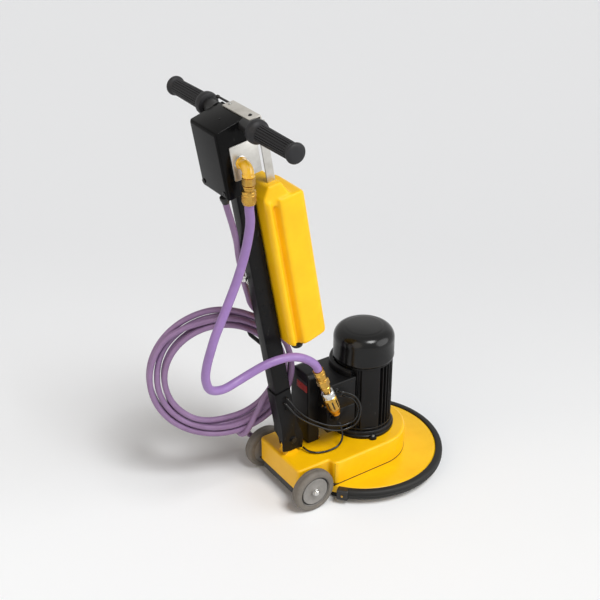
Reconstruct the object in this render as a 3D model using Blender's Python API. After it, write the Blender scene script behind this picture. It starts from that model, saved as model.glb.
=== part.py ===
"""Walk-behind single-disc rotary floor machine, modelled as separate working pieces.

Metres, +Z up. The origin is the centre of the disc on the floor. +Y points from the wheels to the
disc and +X to the machine's right, so the operator stands on the -Y side and looks along +Y.
"""
from math import asin, atan2, cos, pi, radians, sin, sqrt

import bmesh
import bpy
from mathutils import Matrix, Vector
from mathutils.geometry import interpolate_bezier

# ---- clearances -------------------------------------------------------------------------------
GAP = 0.0003            # between pieces that touch
RUN = 0.0010            # round a piece that turns

# ---- disc, deck and bumper --------------------------------------------------------------------
BUMPER_RADIUS = 0.250
BUMPER_WIDTH = 0.0206
BUMPER_BOTTOM = 0.0238
BUMPER_TOP = 0.0486
BUMPER_OPEN = radians(45.0)      # half the arc left open behind the wheels
BRACKET_ARC = radians(7.5)
BRACKET_PROUD = 0.004
DECK_WALL = 0.0030
DECK_CROWN = 0.0014              # rise of the deck's top above the bumper
DECK_HUB_RADIUS = 0.040
DECK_HUB_DEPTH = 0.012
PAD_RADIUS = 0.221
PAD_THICKNESS = 0.016
PLATE_RADIUS = 0.214
PLATE_THICKNESS = 0.012
PLATE_HUB_RADIUS = 0.036
PLATE_HUB_RISE = 0.008

# ---- chassis housing --------------------------------------------------------------------------
HOUSING_HALF = 0.131
HOUSING_TOP = 0.128
HOUSING_WALL = 0.0050
HOUSING_TAIL_HALF = 0.104        # between the wheels
HOUSING_TAIL_Y = -0.300
HOUSING_STEP_Y = -0.192          # where the body narrows in front of the wheels
HOUSING_TAIL_CORNER = 0.014
HOUSING_EDGE = 0.009
LUG_HALF = 0.0195
LUG_RADIUS = 0.015

# ---- wheels -----------------------------------------------------------------------------------
WHEEL_RADIUS = 0.066
WHEEL_WIDTH = 0.030
WHEEL_INNER_X = 0.1125
WHEEL_Y = -0.2655
TYRE_BORE = 0.048
AXLE_RADIUS = 0.0060
CAP_RADIUS = 0.0105
CAP_LENGTH = 0.0095

# ---- motor ------------------------------------------------------------------------------------
FLANGE_RADIUS = 0.094
FLANGE_THICKNESS = 0.022
FLANGE_LUGS = 3
FLANGE_LUG_ANGLE = radians(-16.0)
MOTOR_RADIUS = 0.0872
FIN_DEPTH = 0.0067
MOTOR_WALL = 0.0145              # from the bottom of the cooling fins to the bore
MOTOR_TOP = 0.372
MOTOR_HEAD = 0.012               # top wall that holds the upper bearing
FIN_COUNT = 26
STATOR_INNER = 0.048
STATOR_LENGTH = 0.130
ROTOR_RADIUS = 0.046
SHAFT_RADIUS = 0.0085
BEARING_RADIUS = 0.0220
BEARING_WIDTH = 0.012
COWL_PROUD = 0.0024              # of the cowl beyond the fins
COWL_TOP = 0.465
COWL_FLAT = 0.055
COWL_WALL = 0.0022
FAN_ROOM = 0.0152                # between the fan and the motor's outside
FAN_BLADES = 7

# ---- reduction gear ---------------------------------------------------------------------------
MODULE = 0.00225
SUN_TEETH = 12
PLANET_TEETH = 18
RING_TEETH = SUN_TEETH + 2 * PLANET_TEETH
PLANETS = 3
GEAR_DEPTH, GEAR_HEIGHT = 1.15, 0.75     # of a tooth below and above the pitch circle, in modules
GEAR_BOTTOM = 0.072
GEAR_WIDTH = 0.022
CARRIER_EDGE = 0.004             # of the carrier inside the ring gear's pitch circle
CARRIER_THICKNESS = 0.010
OUTPUT_RADIUS = 0.014
PLANET_PIN = 0.006
GEARCASE_WALL = 0.010
OUTPUT_BEARING_RADIUS = 0.030

# ---- boxes behind the motor -------------------------------------------------------------------
TERMINAL_LEFT, TERMINAL_RIGHT = -0.080, 0.055
TERMINAL_REAR = -0.165
TERMINAL_BOTTOM, TERMINAL_TOP = 0.250, 0.342
FEED_BLOCK_BOTTOM = 0.185
CAPACITOR_LEFT, CAPACITOR_RIGHT = -0.082, 0.010
CAPACITOR_DEPTH = 0.038
CAPACITOR_TOP = 0.365
CAPACITOR_CORNER = 0.028
FEED_REACH = 0.0785              # x of the plumb end of the feed elbow
FEED_Y, FEED_Z = -0.150, 0.236
FEED_RADIUS = 0.0095
FEED_STUB = 0.004
COUPLER_START = Vector((0.080, -0.2184, 0.432))
SLEEVE_START, SLEEVE_LENGTH = 0.0874, 0.0226
SLEEVE_TRAVEL = 0.006
FEED_NECK = 0.006

# ---- handle -----------------------------------------------------------------------------------
TILT = radians(9.7)              # lean of the handle towards the operator at rest
PIVOT_Y, PIVOT_Z = -0.2643, 0.1774
PIN_RADIUS = 0.0050
COLUMN_WIDTH, COLUMN_DEPTH = 0.040, 0.050
COLUMN_WALL = 0.0030
COLUMN_BOTTOM, COLUMN_TOP = 0.020, 0.925
YOKE_WALL = 0.0035
YOKE_TOP = 0.182
HEAD_LEFT, HEAD_RIGHT = -0.066, 0.060
HEAD_REAR = -0.070
HEAD_FRONT = 0.030
HEAD_BOTTOM, HEAD_TOP = 0.845, 1.027
HEAD_CREST = 1.0385              # the top rises to this level over the handlebar
HEAD_WALL = 0.0030
HEAD_EDGE = 0.008
COVER_THICKNESS = 0.004
BAR_Q, BAR_H = 0.012, 1.023
BAR_RADIUS = 0.0125
BAR_WALL = 0.0020
BAR_HALF = 0.270
CLAMP_LEFT, CLAMP_RIGHT = -0.040, 0.085
CLAMP_REAR, CLAMP_FRONT = 0.014, 0.048
CLAMP_SKIRT = 0.036              # height of the clamp's front leg
CLAMP_FOOT = 0.985               # level of the foot that meets the box's front
CLAMP_GAUGE = 0.004
GRIP_START = 0.107
GRIP_COLLAR = 0.0310
GRIP_BODY = 0.0215
GRIP_END = 0.0258
GRIP_CAP = 0.017
PLATE_Q0, PLATE_Q1 = -0.042, 0.036
PLATE_H0, PLATE_H1 = 0.890, 0.982
SIDE_PLATE = 0.0040
ELBOW_Q, ELBOW_H = -0.019, 0.935
ELBOW_RADIUS = 0.0150
ELBOW_TAIL = 0.0110
ELBOW_REACH = 0.100              # x of the plumb leg
ELBOW_DROP = 0.0245
ELBOW_BEND = 0.019
NUT_RADIUS = 0.0185
NUT_LENGTH = 0.0710
HANGER_X = 0.0303
HANGER_Q0, HANGER_Q1 = 0.060, 0.083
HANGER_TOP, HANGER_BOTTOM = 1.000, 0.832
HANGER_THICKNESS = 0.005
TANK_HALF = 0.065
TANK_REAR, TANK_FRONT = 0.0285, 0.148
TANK_BOTTOM, TANK_TOP = 0.334, 0.790
DRAIN_X, DRAIN_Q = 0.034, 0.062
TANK_NECK_HALF = 0.048           # raised neck that the hanger holds
LEVER_RADIUS = 0.003
LEVER_LENGTH = 0.056
LEVER_Q, LEVER_H = 0.034, 1.0405

# ---- hoses and cables -------------------------------------------------------------------------
FEED_HOSE_DIAMETER = 0.024
SUPPLY_HOSE_DIAMETER = 0.017
CABLE_DIAMETER = 0.0045
END_SHARE = 0.25                 # of a diameter: the square lead at each end of a hose or cable
COIL_CENTRE = Vector((-0.130, -0.408, 0.378))
COIL_AZIMUTH = radians(68.3)
COIL_OUTER, COIL_INNER = 0.212, 0.152
COIL_HALF_WIDTH = 0.018
HOOK_RADIUS = 0.006
HOOK_LENGTH = 0.108
HOOK_LIP = 0.030
HOOK_DROP = 0.0075               # below the ring's inner top, whose plane crosses the hook askew

# ---- facets and derived levels ---------------------------------------------------------------------------
DECK_FACETS = 48                 # shared by the deck and the bumper, so that their facets meet
DECK_RADIUS = BUMPER_RADIUS - BUMPER_WIDTH
DECK_TOP = BUMPER_TOP + DECK_CROWN
HOUSING_BOTTOM = DECK_TOP + GAP
FLANGE_BOTTOM = HOUSING_TOP + GAP
BODY_BOTTOM = FLANGE_BOTTOM + FLANGE_THICKNESS + GAP
PIVOT = Vector((0.0, PIVOT_Y, PIVOT_Z))
GEAR_TOP = GEAR_BOTTOM + GEAR_WIDTH
PLANET_ORBIT = MODULE * (SUN_TEETH + PLANET_TEETH) / 2.0
CARRIER_RADIUS = MODULE * RING_TEETH / 2.0 - CARRIER_EDGE
MOTOR_CORE = MOTOR_RADIUS - FIN_DEPTH
MOTOR_BORE = MOTOR_CORE - MOTOR_WALL
COWL_RADIUS = MOTOR_RADIUS + COWL_PROUD
FAN_RADIUS = MOTOR_RADIUS - FAN_ROOM
FEED_BEND = FEED_REACH - TERMINAL_RIGHT - GAP - FEED_STUB
FEED_KNEE = Vector((FEED_REACH, FEED_Y, FEED_Z + FEED_BEND))
COUPLER_AIM = (FEED_KNEE - COUPLER_START).normalized()
COUPLER_LENGTH = (FEED_KNEE - COUPLER_START).length - FEED_NECK

# Each list is the middle line of a hose or cable, chosen by hand, in world metres at rest. The feed
# hose's and the connector's ends are worked out from the fittings that they meet.
FEED_ROUTE = [
    (0.100, -0.4385, 0.954), (0.098, -0.443, 0.914), (0.094, -0.450, 0.874), (0.090, -0.460, 0.834),
    (0.088, -0.473, 0.796), (0.088, -0.489, 0.761), (0.090, -0.507, 0.728), (0.093, -0.527, 0.694),
    (0.093, -0.545, 0.658), (0.089, -0.558, 0.616), (0.081, -0.567, 0.570), (0.073, -0.568, 0.522),
    (0.064, -0.550, 0.480), (0.056, -0.509, 0.462), (0.052, -0.460, 0.468), (0.057, -0.419, 0.483),
    (0.066, -0.384, 0.498), (0.074, -0.346, 0.506), (0.078, -0.301, 0.502), (0.080, -0.257, 0.480)]
SUPPLY_ROUTE = [
    (0.030, -0.467, 0.9905), (0.0285, -0.463, 0.974), (0.022, -0.452, 0.943), (0.006, -0.432, 0.893),
    (-0.010, -0.414, 0.842), (-0.024, -0.402, 0.797), (-0.042, -0.384, 0.742), (-0.060, -0.363, 0.681),
    (-0.075, -0.345, 0.637), (-0.086, -0.331, 0.602), (-0.0945, -0.321, 0.575)]
TAIL_ROUTE = [
    (-0.0609, -0.3096, 0.290), (-0.0659, -0.3226, 0.261), (-0.0709, -0.3326, 0.238),
    (-0.0749, -0.3426, 0.215),
    (-0.0774, -0.3506, 0.198), (-0.0819, -0.3571, 0.178), (-0.093, -0.361, 0.1625),
    (-0.112, -0.3605, 0.156),
    (-0.135, -0.359, 0.155), (-0.152, -0.354, 0.150), (-0.163, -0.342, 0.133), (-0.170, -0.320, 0.107),
    (-0.1725, -0.295, 0.084), (-0.173, -0.270, 0.072)]
CONNECTOR_AIM = Vector((-0.173, -0.200, 0.071))
CABLE_ONE_ROUTE = [
    (0.0243, -0.290, 0.336), (0.0300, -0.290, 0.336), (0.040, -0.278, 0.308), (0.050, -0.246, 0.270),
    (0.062, -0.206, 0.240), (0.072, -0.153, 0.210), (0.080, -0.112, 0.205), (0.086, -0.084, 0.219),
    (0.086, -0.078, 0.250), (0.081, -0.085, 0.277), (0.072, -0.103, 0.296), (0.062, -0.119, 0.300),
    (0.0557, -0.120, 0.300)]
CABLE_TWO_ROUTE = [
    (0.0243, -0.296, 0.321), (0.0300, -0.296, 0.321), (0.040, -0.284, 0.293), (0.052, -0.248, 0.256),
    (0.065, -0.207, 0.228), (0.076, -0.158, 0.199), (0.086, -0.114, 0.193), (0.0935, -0.082, 0.207),
    (0.0955, -0.070, 0.240), (0.091, -0.074, 0.280), (0.083, -0.092, 0.310), (0.069, -0.124, 0.3215),
    (0.0615, -0.136, 0.319), (0.0557, -0.136, 0.319)]
CABLE_THREE_ROUTE = [
    (0.0557, -0.125, 0.196), (0.060, -0.1245, 0.1955), (0.066, -0.119, 0.180), (0.070, -0.120, 0.158),
    (0.074, -0.133, 0.141), (0.075, -0.155, 0.1335), (0.072, -0.188, 0.1325), (0.062, -0.212, 0.133),
    (0.044, -0.226, 0.135), (0.030, -0.230, 0.138), (0.0243, -0.230, 0.138)]


# ---- materials --------------------------------------------------------------------------------
def material(name, colour, roughness, metallic=0.0):
    """A Principled BSDF finish."""
    finish = bpy.data.materials.new(name)
    finish.use_nodes = True
    shader = finish.node_tree.nodes["Principled BSDF"]
    shader.inputs["Base Color"].default_value = (*colour, 1.0)
    shader.inputs["Roughness"].default_value = roughness
    shader.inputs["Metallic"].default_value = metallic
    return finish


def finishes():
    """The finishes, by name."""
    return {
        "yellow": material("yellow_enamel", (0.95, 0.52, 0.01), 0.35),
        "moulded": material("yellow_moulding", (0.96, 0.60, 0.02), 0.40),
        "black": material("black_paint", (0.012, 0.012, 0.013), 0.30),
        "rubber": material("black_rubber", (0.020, 0.020, 0.021), 0.70),
        "plastic": material("black_plastic", (0.016, 0.016, 0.017), 0.42),
        "grey": material("grey_tyre", (0.17, 0.17, 0.18), 0.60),
        "hub": material("grey_hub", (0.24, 0.24, 0.25), 0.50),
        "steel": material("bright_steel", (0.60, 0.60, 0.61), 0.28, 1.0),
        "aluminium": material("aluminium", (0.74, 0.74, 0.73), 0.38, 1.0),
        "brass": material("brass", (0.70, 0.46, 0.16), 0.32, 1.0),
        "copper": material("copper", (0.66, 0.30, 0.16), 0.45, 1.0),
        "lilac": material("lilac_hose", (0.40, 0.26, 0.56), 0.45),
        "fibre": material("pad_fibre", (0.03, 0.03, 0.03), 0.90),
    }


# ---- mesh tools -------------------------------------------------------------------------------
def finish_object(name, mesh_data, finish, place=None, smooth=35.0):
    """An object from a bmesh, with its finish; faces under the given angle are shaded smooth."""
    bmesh.ops.recalc_face_normals(mesh_data, faces=mesh_data.faces)
    mesh = bpy.data.meshes.new(name)
    mesh_data.to_mesh(mesh)
    mesh_data.free()
    mesh.materials.append(finish)
    mesh.shade_smooth()
    mesh.set_sharp_from_angle(angle=radians(smooth))
    piece = bpy.data.objects.new(name, mesh)
    bpy.context.collection.objects.link(piece)
    if place is not None:
        piece.matrix_world = place
    return piece


def turned(name, profile, finish, place=None, segments=40, flats=None):
    """A closed profile of (radius, height) points turned about local Z. Rows named in flats are hex."""
    mesh = bmesh.new()
    rings = []
    for row, (radius, height) in enumerate(profile):
        if radius == 0.0:
            rings.append([mesh.verts.new((0.0, 0.0, height))])
            continue
        ring = []
        for step in range(segments):
            angle = 2.0 * pi * step / segments
            reach = radius
            if flats and row in flats:
                reach = radius * cos(pi / 6.0) / cos(angle % (pi / 3.0) - pi / 6.0)
            ring.append(mesh.verts.new((reach * cos(angle), reach * sin(angle), height)))
        rings.append(ring)
    for row, ring in enumerate(rings):
        after = rings[(row + 1) % len(rings)]
        if len(ring) == 1 and len(after) == 1:
            continue
        for step in range(segments):
            other = (step + 1) % segments
            if len(ring) == 1:
                mesh.faces.new((ring[0], after[step], after[other]))
            elif len(after) == 1:
                mesh.faces.new((ring[step], after[0], ring[other]))
            else:
                mesh.faces.new((ring[step], after[step], after[other], ring[other]))
    return finish_object(name, mesh, finish, place)


def turned_arc(name, profile, finish, start, end, segments):
    """A closed (radius, height) profile turned about world Z from one angle to another, with ends."""
    mesh = bmesh.new()
    rings = []
    for step in range(segments + 1):
        angle = start + (end - start) * step / segments
        rings.append([mesh.verts.new((r * cos(angle), r * sin(angle), z)) for r, z in profile])
    count = len(profile)
    for ring, after in zip(rings, rings[1:]):
        for row in range(count):
            other = (row + 1) % count
            mesh.faces.new((ring[row], ring[other], after[other], after[row]))
    mesh.faces.new(rings[0])
    mesh.faces.new(rings[-1])
    return finish_object(name, mesh, finish)


def prism(name, outline, near, far, finish, place=None, along="Z", edge=0.0, steps=2, smooth=35.0):
    """An outline extruded from near to far: (x, y) along Z, (y, z) along X, or (x, z) along Y."""
    lay = {"Z": lambda a, b, c: (a, b, c), "X": lambda a, b, c: (c, a, b),
           "Y": lambda a, b, c: (a, c, b)}[along]
    mesh = bmesh.new()
    low = [mesh.verts.new(lay(a, b, near)) for a, b in outline]
    high = [mesh.verts.new(lay(a, b, far)) for a, b in outline]
    mesh.faces.new(low)
    mesh.faces.new(high)
    for row in range(len(outline)):
        other = (row + 1) % len(outline)
        mesh.faces.new((low[row], low[other], high[other], high[row]))
    piece = finish_object(name, mesh, finish, place, smooth)
    if edge:
        rounded = piece.modifiers.new("Edges", "BEVEL")
        rounded.width = edge
        rounded.segments = steps
        rounded.limit_method = "ANGLE"
        rounded.angle_limit = radians(50.0)
    return piece


def swept(name, points, radii, finish, place=None, sides=16, flats=None):
    """A round bar along points, with a radius at each; rows named in flats are hexagonal."""
    mesh = bmesh.new()
    points = [Vector(point) for point in points]
    tangents = []
    for row in range(len(points)):
        before, after = points[max(row - 1, 0)], points[min(row + 1, len(points) - 1)]
        if (after - before).length < 1e-9:
            before, after = points[max(row - 2, 0)], points[min(row + 2, len(points) - 1)]
        tangents.append((after - before).normalized())
    side = tangents[0].orthogonal().normalized()
    rings = []
    for row, (point, tangent) in enumerate(zip(points, tangents)):
        side = (side - tangent * side.dot(tangent)).normalized()
        other_side = tangent.cross(side)
        ring = []
        for step in range(sides):
            angle = 2.0 * pi * step / sides
            reach = radii[row]
            if flats and row in flats:
                reach *= cos(pi / 6.0) / cos(angle % (pi / 3.0) - pi / 6.0)
            ring.append(mesh.verts.new(point + side * (reach * cos(angle)) + other_side * (reach * sin(angle))))
        rings.append(ring)
    for ring, after in zip(rings, rings[1:]):
        for step in range(sides):
            other = (step + 1) % sides
            mesh.faces.new((ring[step], ring[other], after[other], after[step]))
    mesh.faces.new(rings[0])
    mesh.faces.new(rings[-1])
    return finish_object(name, mesh, finish, place)


def combine(target, tool, operation="DIFFERENCE"):
    """Cut the target with a hidden tool, or join the tool to it."""
    tool.hide_render = True
    tool.display_type = "WIRE"
    step = target.modifiers.new(tool.name, "BOOLEAN")
    step.operation = operation
    step.solver = "EXACT"
    step.object = tool
    return target


def along_x(y, z):
    """The placement that lays a turned piece's axis along +X through (y, z)."""
    return Matrix.Translation((0.0, y, z)) @ Matrix.Rotation(pi / 2.0, 4, "Y")


def rod(radius, start, end, chamfer=0.0):
    """The profile of a solid round bar with chamfered ends."""
    if not chamfer:
        return [(0.0, end), (radius, end), (radius, start), (0.0, start)]
    return [(0.0, end), (radius - chamfer, end), (radius, end - chamfer),
            (radius, start + chamfer), (radius - chamfer, start), (0.0, start)]


def tube(outer, inner, start, end, chamfer=0.0):
    """The profile of a hollow round bar, its outer edges chamfered."""
    if not chamfer:
        return [(inner, end), (outer, end), (outer, start), (inner, start)]
    return [(inner, end), (outer - chamfer, end), (outer, end - chamfer), (outer, start + chamfer),
            (outer - chamfer, start), (inner, start)]


def round_corners(points, radii, steps=4):
    """An outline with each corner replaced by an arc of its own radius (0 keeps the corner)."""
    outline = []
    count = len(points)
    for row, (corner, radius) in enumerate(zip(points, radii)):
        here = Vector(corner)
        if radius == 0.0:
            outline.append(tuple(here))
            continue
        before = (Vector(points[row - 1]) - here).normalized()
        after = (Vector(points[(row + 1) % count]) - here).normalized()
        half = before.angle(after) / 2.0
        reach = radius * cos(half) / sin(half)
        start, end = here + before * reach, here + after * reach
        centre = here + (before + after).normalized() * (radius / sin(half))
        first = atan2(*(start - centre).yx)
        turn = atan2(*(end - centre).yx) - first
        turn -= 2.0 * pi * round(turn / (2.0 * pi))
        for step in range(steps + 1):
            angle = first + turn * step / steps
            outline.append((centre.x + radius * cos(angle), centre.y + radius * sin(angle)))
    return outline


def arc(centre, radius, start, end, steps):
    """Points of an arc, ends included."""
    span = end - start
    return [(centre[0] + radius * cos(start + span * step / steps),
             centre[1] + radius * sin(start + span * step / steps)) for step in range(steps + 1)]


def gear_outline(teeth, phase, inward=False):
    """A spur gear's outline: four points a tooth, with tooth centres at the phase."""
    pitch = MODULE * teeth / 2.0
    root = pitch + GEAR_DEPTH * MODULE if inward else pitch - GEAR_DEPTH * MODULE
    tip = pitch - GEAR_HEIGHT * MODULE if inward else pitch + GEAR_HEIGHT * MODULE
    step = 2.0 * pi / teeth
    outline = []
    for tooth in range(teeth):
        middle = phase + tooth * step
        for radius, share in ((root, -0.29), (tip, -0.12), (tip, 0.12), (root, 0.29)):
            angle = middle + share * step
            outline.append((radius * cos(angle), radius * sin(angle)))
    return outline


def heading(before, here, after):
    """The direction of a smooth curve at a point, led by the shorter of its two spans."""
    back, ahead = here - before, after - here
    return (back.normalized() * ahead.length + ahead.normalized() * back.length).normalized()


def smooth_route(points, diameter, spacing=2.5):
    """Points every few diameters along a smooth curve through the route's points."""
    points = [Vector(point) for point in points]
    dense = []
    for row in range(len(points) - 1):
        start, end = points[row], points[row + 1]
        before = points[row - 1] if row else start - (end - start)
        after = points[row + 2] if row + 2 < len(points) else end + (end - start)
        third = (end - start).length / 3.0
        handle_a = start + heading(before, start, end) * third
        handle_b = end - heading(start, end, after) * third
        dense += interpolate_bezier(start, handle_a, handle_b, end, 17)[:-1]
    dense.append(points[-1])
    lengths = [0.0]
    for start, end in zip(dense, dense[1:]):
        lengths.append(lengths[-1] + (end - start).length)
    lead = END_SHARE * diameter
    count = max(4, round((lengths[-1] - 2.0 * lead) / (spacing * diameter)))
    wanted = [lead + (lengths[-1] - 2.0 * lead) * step / count for step in range(count + 1)]
    placed = [dense[0]]
    row = 0
    for want in wanted:
        while row < len(dense) - 2 and lengths[row + 1] < want:
            row += 1
        share = (want - lengths[row]) / (lengths[row + 1] - lengths[row])
        placed.append(dense[row].lerp(dense[row + 1], min(share, 1.0)))
    return placed + [dense[-1]]


def cord(name, route, diameter, finish, resolution, spacing=2.5):
    """A hose or cable: a round curve with filled ends along a smooth route."""
    placed = smooth_route(route, diameter, spacing)
    curve = bpy.data.curves.new(name, "CURVE")
    curve.dimensions = "3D"
    curve.bevel_depth = diameter / 2.0
    curve.bevel_resolution = resolution
    curve.use_fill_caps = True
    curve.materials.append(finish)
    spline = curve.splines.new("POLY")
    spline.points.add(len(placed) - 1)
    for point, place in zip(spline.points, placed):
        point.co = (*place, 1.0)
    piece = bpy.data.objects.new(name, curve)
    bpy.context.collection.objects.link(piece)
    return piece


def joint_empty(name, location, rotation=(0.0, 0.0, 0.0)):
    """An empty on a joint's axis, which carries the pieces that move with it."""
    empty = bpy.data.objects.new(name, None)
    empty.location = location
    empty.rotation_euler = rotation
    bpy.context.collection.objects.link(empty)
    bpy.context.view_layer.update()
    return empty


def carry(empty, pieces):
    """Parent pieces to an empty and leave them where they are."""
    bpy.context.view_layer.update()
    for piece in pieces:
        piece.parent = empty
        piece.matrix_parent_inverse = empty.matrix_world.inverted()


def handle_frame():
    """The handle's own frame: x across, y forward from the column's middle, z up it from the pivot."""
    return Matrix.Translation(PIVOT) @ Matrix.Rotation(TILT, 4, "X")


# ---- disc, deck and bumper --------------------------------------------------------------------
def build_disc(look):
    """The pad and its drive plate, which turn with the planet carrier."""
    plate_bottom = PAD_THICKNESS + GAP
    plate_top = plate_bottom + PLATE_THICKNESS
    chamfer = 0.003
    pad = turned("pad", rod(PAD_RADIUS, 0.0, PAD_THICKNESS, chamfer), look["fibre"], segments=40)
    bore = OUTPUT_RADIUS + GAP
    profile = [(bore, plate_top + PLATE_HUB_RISE), (PLATE_HUB_RADIUS, plate_top + PLATE_HUB_RISE),
               (PLATE_HUB_RADIUS, plate_top), (PLATE_RADIUS - chamfer, plate_top),
               (PLATE_RADIUS, plate_top - chamfer), (PLATE_RADIUS, plate_bottom), (0.0, plate_bottom),
               (0.0, plate_bottom + PLATE_THICKNESS / 2.0),
               (bore, plate_bottom + PLATE_THICKNESS / 2.0)]
    plate = turned("drive_plate", profile, look["plastic"], segments=40)
    return [pad, plate]


def build_deck(look):
    """The yellow deck pan with its bearing hub, and the rubber bumper clamped round it."""
    under = DECK_TOP - DECK_WALL
    seat = OUTPUT_BEARING_RADIUS + GAP
    rim = DECK_RADIUS - DECK_WALL
    profile = [(seat, DECK_TOP), (DECK_RADIUS - 0.012, DECK_TOP),
               (DECK_RADIUS - 0.003, DECK_TOP - 0.0012),
               (DECK_RADIUS, DECK_TOP - 0.004), (DECK_RADIUS, BUMPER_BOTTOM), (rim, BUMPER_BOTTOM),
               (rim, under), (DECK_HUB_RADIUS, under), (DECK_HUB_RADIUS, DECK_TOP - DECK_HUB_DEPTH),
               (seat, DECK_TOP - DECK_HUB_DEPTH)]
    turned("deck_disc", profile, look["yellow"], segments=DECK_FACETS)
    inner = DECK_RADIUS + GAP
    middle = (BUMPER_TOP + BUMPER_BOTTOM) / 2.0
    soft = 0.005
    section = [(inner, BUMPER_TOP), (BUMPER_RADIUS - soft, BUMPER_TOP), (BUMPER_RADIUS - 0.0015,
               BUMPER_TOP - 0.0025),
               (BUMPER_RADIUS, middle), (BUMPER_RADIUS - 0.0015, BUMPER_BOTTOM + 0.0025),
               (BUMPER_RADIUS - soft, BUMPER_BOTTOM), (inner, BUMPER_BOTTOM)]
    first = -pi / 2.0 + BUMPER_OPEN
    last = 3.0 * pi / 2.0 - BUMPER_OPEN
    turned_arc("bumper_ring", section, look["rubber"], first, last,
               round((last - first) / (2.0 * pi) * DECK_FACETS))
    slack = GAP / BUMPER_RADIUS
    outer = BUMPER_RADIUS + BRACKET_PROUD
    clamp = [(inner, BUMPER_TOP + 0.002), (outer - 0.004, BUMPER_TOP + 0.002),
             (outer, BUMPER_TOP - 0.002),
             (outer, BUMPER_BOTTOM + 0.002), (outer - 0.004, BUMPER_BOTTOM), (inner, BUMPER_BOTTOM)]
    turned_arc("bumper_bracket_right", clamp, look["plastic"], first - BRACKET_ARC, first - slack, 2)
    turned_arc("bumper_bracket_left", clamp, look["plastic"], last + slack, last + BRACKET_ARC, 2)


# ---- chassis ----------------------------------------------------------------------------------
def housing_outline(inset):
    """The housing's plan: a round nose, straight flanks and a narrow tail between the wheels."""
    half = HOUSING_HALF - inset
    tail = HOUSING_TAIL_HALF - inset
    step_y = HOUSING_STEP_Y + inset
    rear = HOUSING_TAIL_Y + inset
    nose = arc((0.0, 0.0), half, 0.0, pi, 18)
    corner = HOUSING_TAIL_CORNER - inset / 2.0
    left = round_corners([(-half, 0.0), (-half, step_y), (-tail, step_y), (-tail, rear), (0.0, rear)],
                         [0.0, 0.018, 0.008, corner, 0.0], 3)
    right = [(-x, y) for x, y in reversed(left)]
    return nose[:-1] + left[:-1] + right[:-1]


def build_housing(look):
    """The yellow cast housing, open below, with its pivot lug, shaft hole and axle holes."""
    skin = HOUSING_WALL
    housing = prism("chassis_housing", housing_outline(0.0), HOUSING_BOTTOM, HOUSING_TOP,
                    look["yellow"])
    edges = housing.modifiers.new("Top edge", "BEVEL")
    edges.width = HOUSING_EDGE
    edges.segments = 2
    edges.limit_method = "WEIGHT"
    weights = housing.data.attributes.new("bevel_weight_edge", "FLOAT", "EDGE")
    for row, rim in enumerate(housing.data.edges):
        heights = [housing.data.vertices[index].co.z for index in rim.vertices]
        weights.data[row].value = 1.0 if min(heights) > HOUSING_TOP - GAP else 0.0
    lug_outline = [(PIVOT_Y - LUG_RADIUS, HOUSING_TOP - skin / 2.0)]
    lug_outline += arc((PIVOT_Y, PIVOT_Z), LUG_RADIUS, pi, 0.0, 8)
    lug_outline += [(PIVOT_Y + LUG_RADIUS, HOUSING_TOP - skin / 2.0)]
    lug = prism("lug_shape", lug_outline, -LUG_HALF, LUG_HALF, look["yellow"], along="X")
    combine(housing, lug, "UNION")
    cavity = prism("housing_cavity", housing_outline(skin), HOUSING_BOTTOM - 0.01, HOUSING_TOP - skin,
                   look["yellow"])
    combine(housing, cavity)
    shaft_hole = turned("shaft_hole", rod(SHAFT_RADIUS + 4.0 * RUN, HOUSING_TOP - 0.02,
                                          HOUSING_TOP + 0.02),
                        look["yellow"], segments=24)
    combine(housing, shaft_hole)
    reach = HOUSING_HALF + 0.02
    pin_hole = turned("pin_hole", rod(PIN_RADIUS + GAP, -reach, reach), look["yellow"],
                      along_x(PIVOT_Y, PIVOT_Z), 16)
    combine(housing, pin_hole)
    axle_hole = turned("axle_hole", rod(AXLE_RADIUS + GAP, -reach, reach), look["yellow"],
                       along_x(WHEEL_Y, WHEEL_RADIUS), 16)
    combine(housing, axle_hole)
    head = PIN_RADIUS + 0.004
    face = COLUMN_WIDTH / 2.0 + GAP + YOKE_WALL + GAP
    pin = [(0.0, face + 0.004), (head, face + 0.004), (head, face), (PIN_RADIUS, face),
           (PIN_RADIUS, -face), (head, -face), (head, -face - 0.004), (0.0, -face - 0.004)]
    turned("pivot_pin", pin, look["steel"], along_x(PIVOT_Y, PIVOT_Z), 16)


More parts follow.
